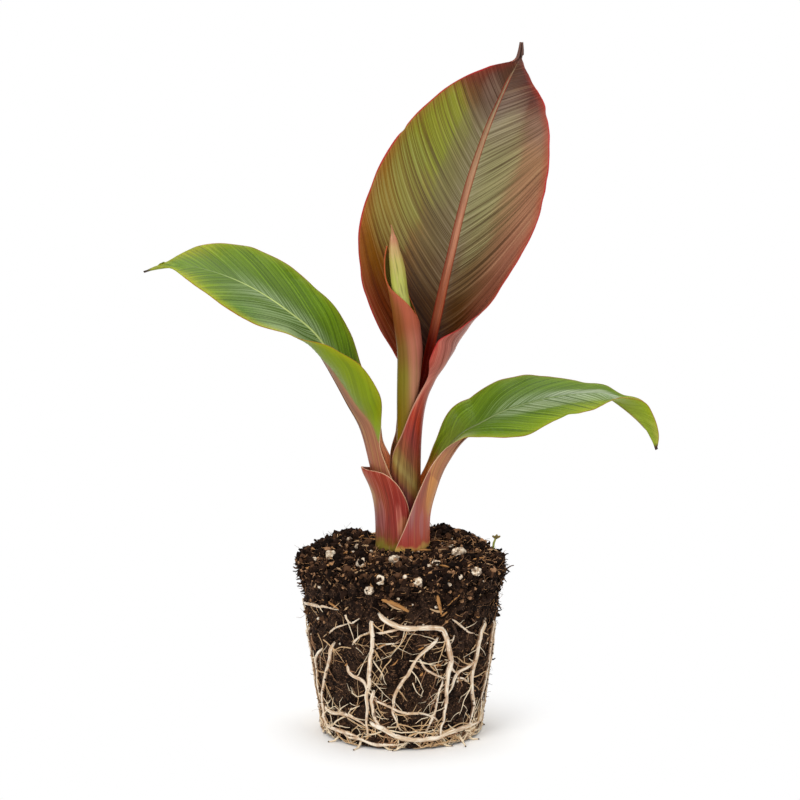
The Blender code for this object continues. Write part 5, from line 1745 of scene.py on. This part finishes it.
def sprout():
    """A short green stub of a weed at the back right of the rim."""
    pile = Pile()
    path = [(45.5, 20, 83), (46.0, 20, 87), (46.3, 19.8, 90), (47.3, 19.8, 92.6)]
    points, tris, quads = tube(path, [0.7, 0.6, 0.6, 0.5], 7)
    pile.add(points, tris, quads, 0)
    for dx, dz in ((2.2, 1.2), (-1.6, 1.4), (0.6, 2.0)):
        path = [(47.3, 19.8, 92.2), (47.3 + 0.5 * dx, 19.5, 92.6 + 0.5 * dz), (47.3 + dx, 19.2, 92.5 + dz)]
        points, tris, quads = tube(path, [0.35, 0.75, 0.45], 6)
        pile.add(points, tris, quads, 1)
    return pile.make("weed_sprout", [plain("weed green", (0.30, 0.33, 0.06), 0.6), plain("weed tip", (0.20, 0.15, 0.04), 0.7)])


woven = thick_roots()
root_pieces = [ball_core(), crumbs_on_top(), crumbs_on_side(), fibres(), bark(), perlite(), woven,
               thin_roots(), sprout()]

# ------------------------------------------------- what each piece stands for
for piece, nodes, slot in (
    (tall_piece, ("tall_leaf_sheath", "tall_leaf_blade"), "blade_red"),
    (left_piece, ("left_leaf_sheath", "left_leaf_base", "left_leaf_blade"), "blade_green"),
    (right_piece, ("right_leaf_sheath", "right_leaf_blade", "right_leaf_tip"), "blade_green"),
    (outer_piece, ("outer_sheath",), "sheath_red"),
    (roll_piece, ("rolled_leaf",), "blade_rolled"),
    (spear_made, ("spear_leaf",), "spear"),
):
    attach(piece, "root")
    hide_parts(*nodes)
for piece in root_pieces:
    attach(piece, "root")
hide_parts("root_ball")


# --------------------------------------------------------- floor, light, camera
scene = bpy.context.scene
floor_mesh = bpy.data.meshes.new("floor")
floor_mesh.from_pydata([(-4, -3, 0), (4, -3, 0), (4, 6, 0), (-4, 6, 0)], [], [(0, 1, 2, 3)])
floor_shade = Graph("floor")
ground = floor_shade.place()
away = floor_shade.node("ShaderNodeVectorMath", operation="LENGTH")
floor_shade.put(away.inputs[0], ground)
blank = floor_shade.node("ShaderNodeEmission")
both = floor_shade.node("ShaderNodeMixShader")
floor_shade.finish((0.965, 0.965, 0.965), 0.9, **{"Specular_IOR_Level": 0.1})
floor_shade.put(both.inputs[0], floor_shade.span(away.outputs["Value"], 0.036, 0.105))
floor_shade.put(both.inputs[1], floor_shade.shader.outputs[0])
floor_shade.put(both.inputs[2], blank.outputs[0])
floor_shade.put(floor_shade.tree.nodes["Material Output"].inputs["Surface"], both.outputs[0])
floor_mesh.materials.append(floor_shade.material)
floor = bpy.data.objects.new("floor", floor_mesh)
scene.collection.objects.link(floor)


def softbox(name, at, aim, size, power, tint=(1, 1, 1)):
    light = bpy.data.lights.new(name, "AREA")
    light.shape, light.size, light.size_y = "RECTANGLE", size[0], size[1]
    light.energy, light.color = power, tint
    made = bpy.data.objects.new(name, light)
    made.location = at
    made.rotation_euler = (Vector(aim) - Vector(at)).to_track_quat("-Z", "Y").to_euler()
    scene.collection.objects.link(made)
    return made


softbox("key", (-0.9, -1.3, 1.35), (0, 0, 0.18), (0.9, 0.9), 20, (1.0, 0.985, 0.96))
softbox("fill", (1.3, -1.2, 0.7), (0, 0, 0.18), (1.0, 1.0), 6)
softbox("top", (0.1, 0.35, 1.6), (0, 0, 0.1), (1.6, 1.6), 22)

world = bpy.data.worlds.new("studio")
world.use_nodes = True
tree = world.node_tree
sky = tree.nodes["Background"]
sky.inputs["Color"].default_value = (1, 1, 1, 1)
seen = tree.nodes.new("ShaderNodeLightPath")
level = tree.nodes.new("ShaderNodeMapRange")
level.inputs["To Min"].default_value = 0.42
level.inputs["To Max"].default_value = 1.0
tree.links.new(seen.outputs["Is Camera Ray"], level.inputs["Value"])
tree.links.new(level.outputs["Result"], sky.inputs["Strength"])
scene.world = world

camera = bpy.data.objects.new("camera", bpy.data.cameras.new("camera"))
camera.data.lens, camera.data.sensor_width = 144.0, 36.0
camera.data.clip_start, camera.data.clip_end = 0.05, 30.0
camera.location = (-0.00075, -1.545, 0.460)
aim = Vector((-0.00075, 0.0, 0.1669)) - camera.location
camera.rotation_euler = aim.to_track_quat("-Z", "Y").to_euler()
scene.collection.objects.link(camera)
scene.camera = camera
scene.view_settings.view_transform = "Standard"
scene.view_settings.look = "None"
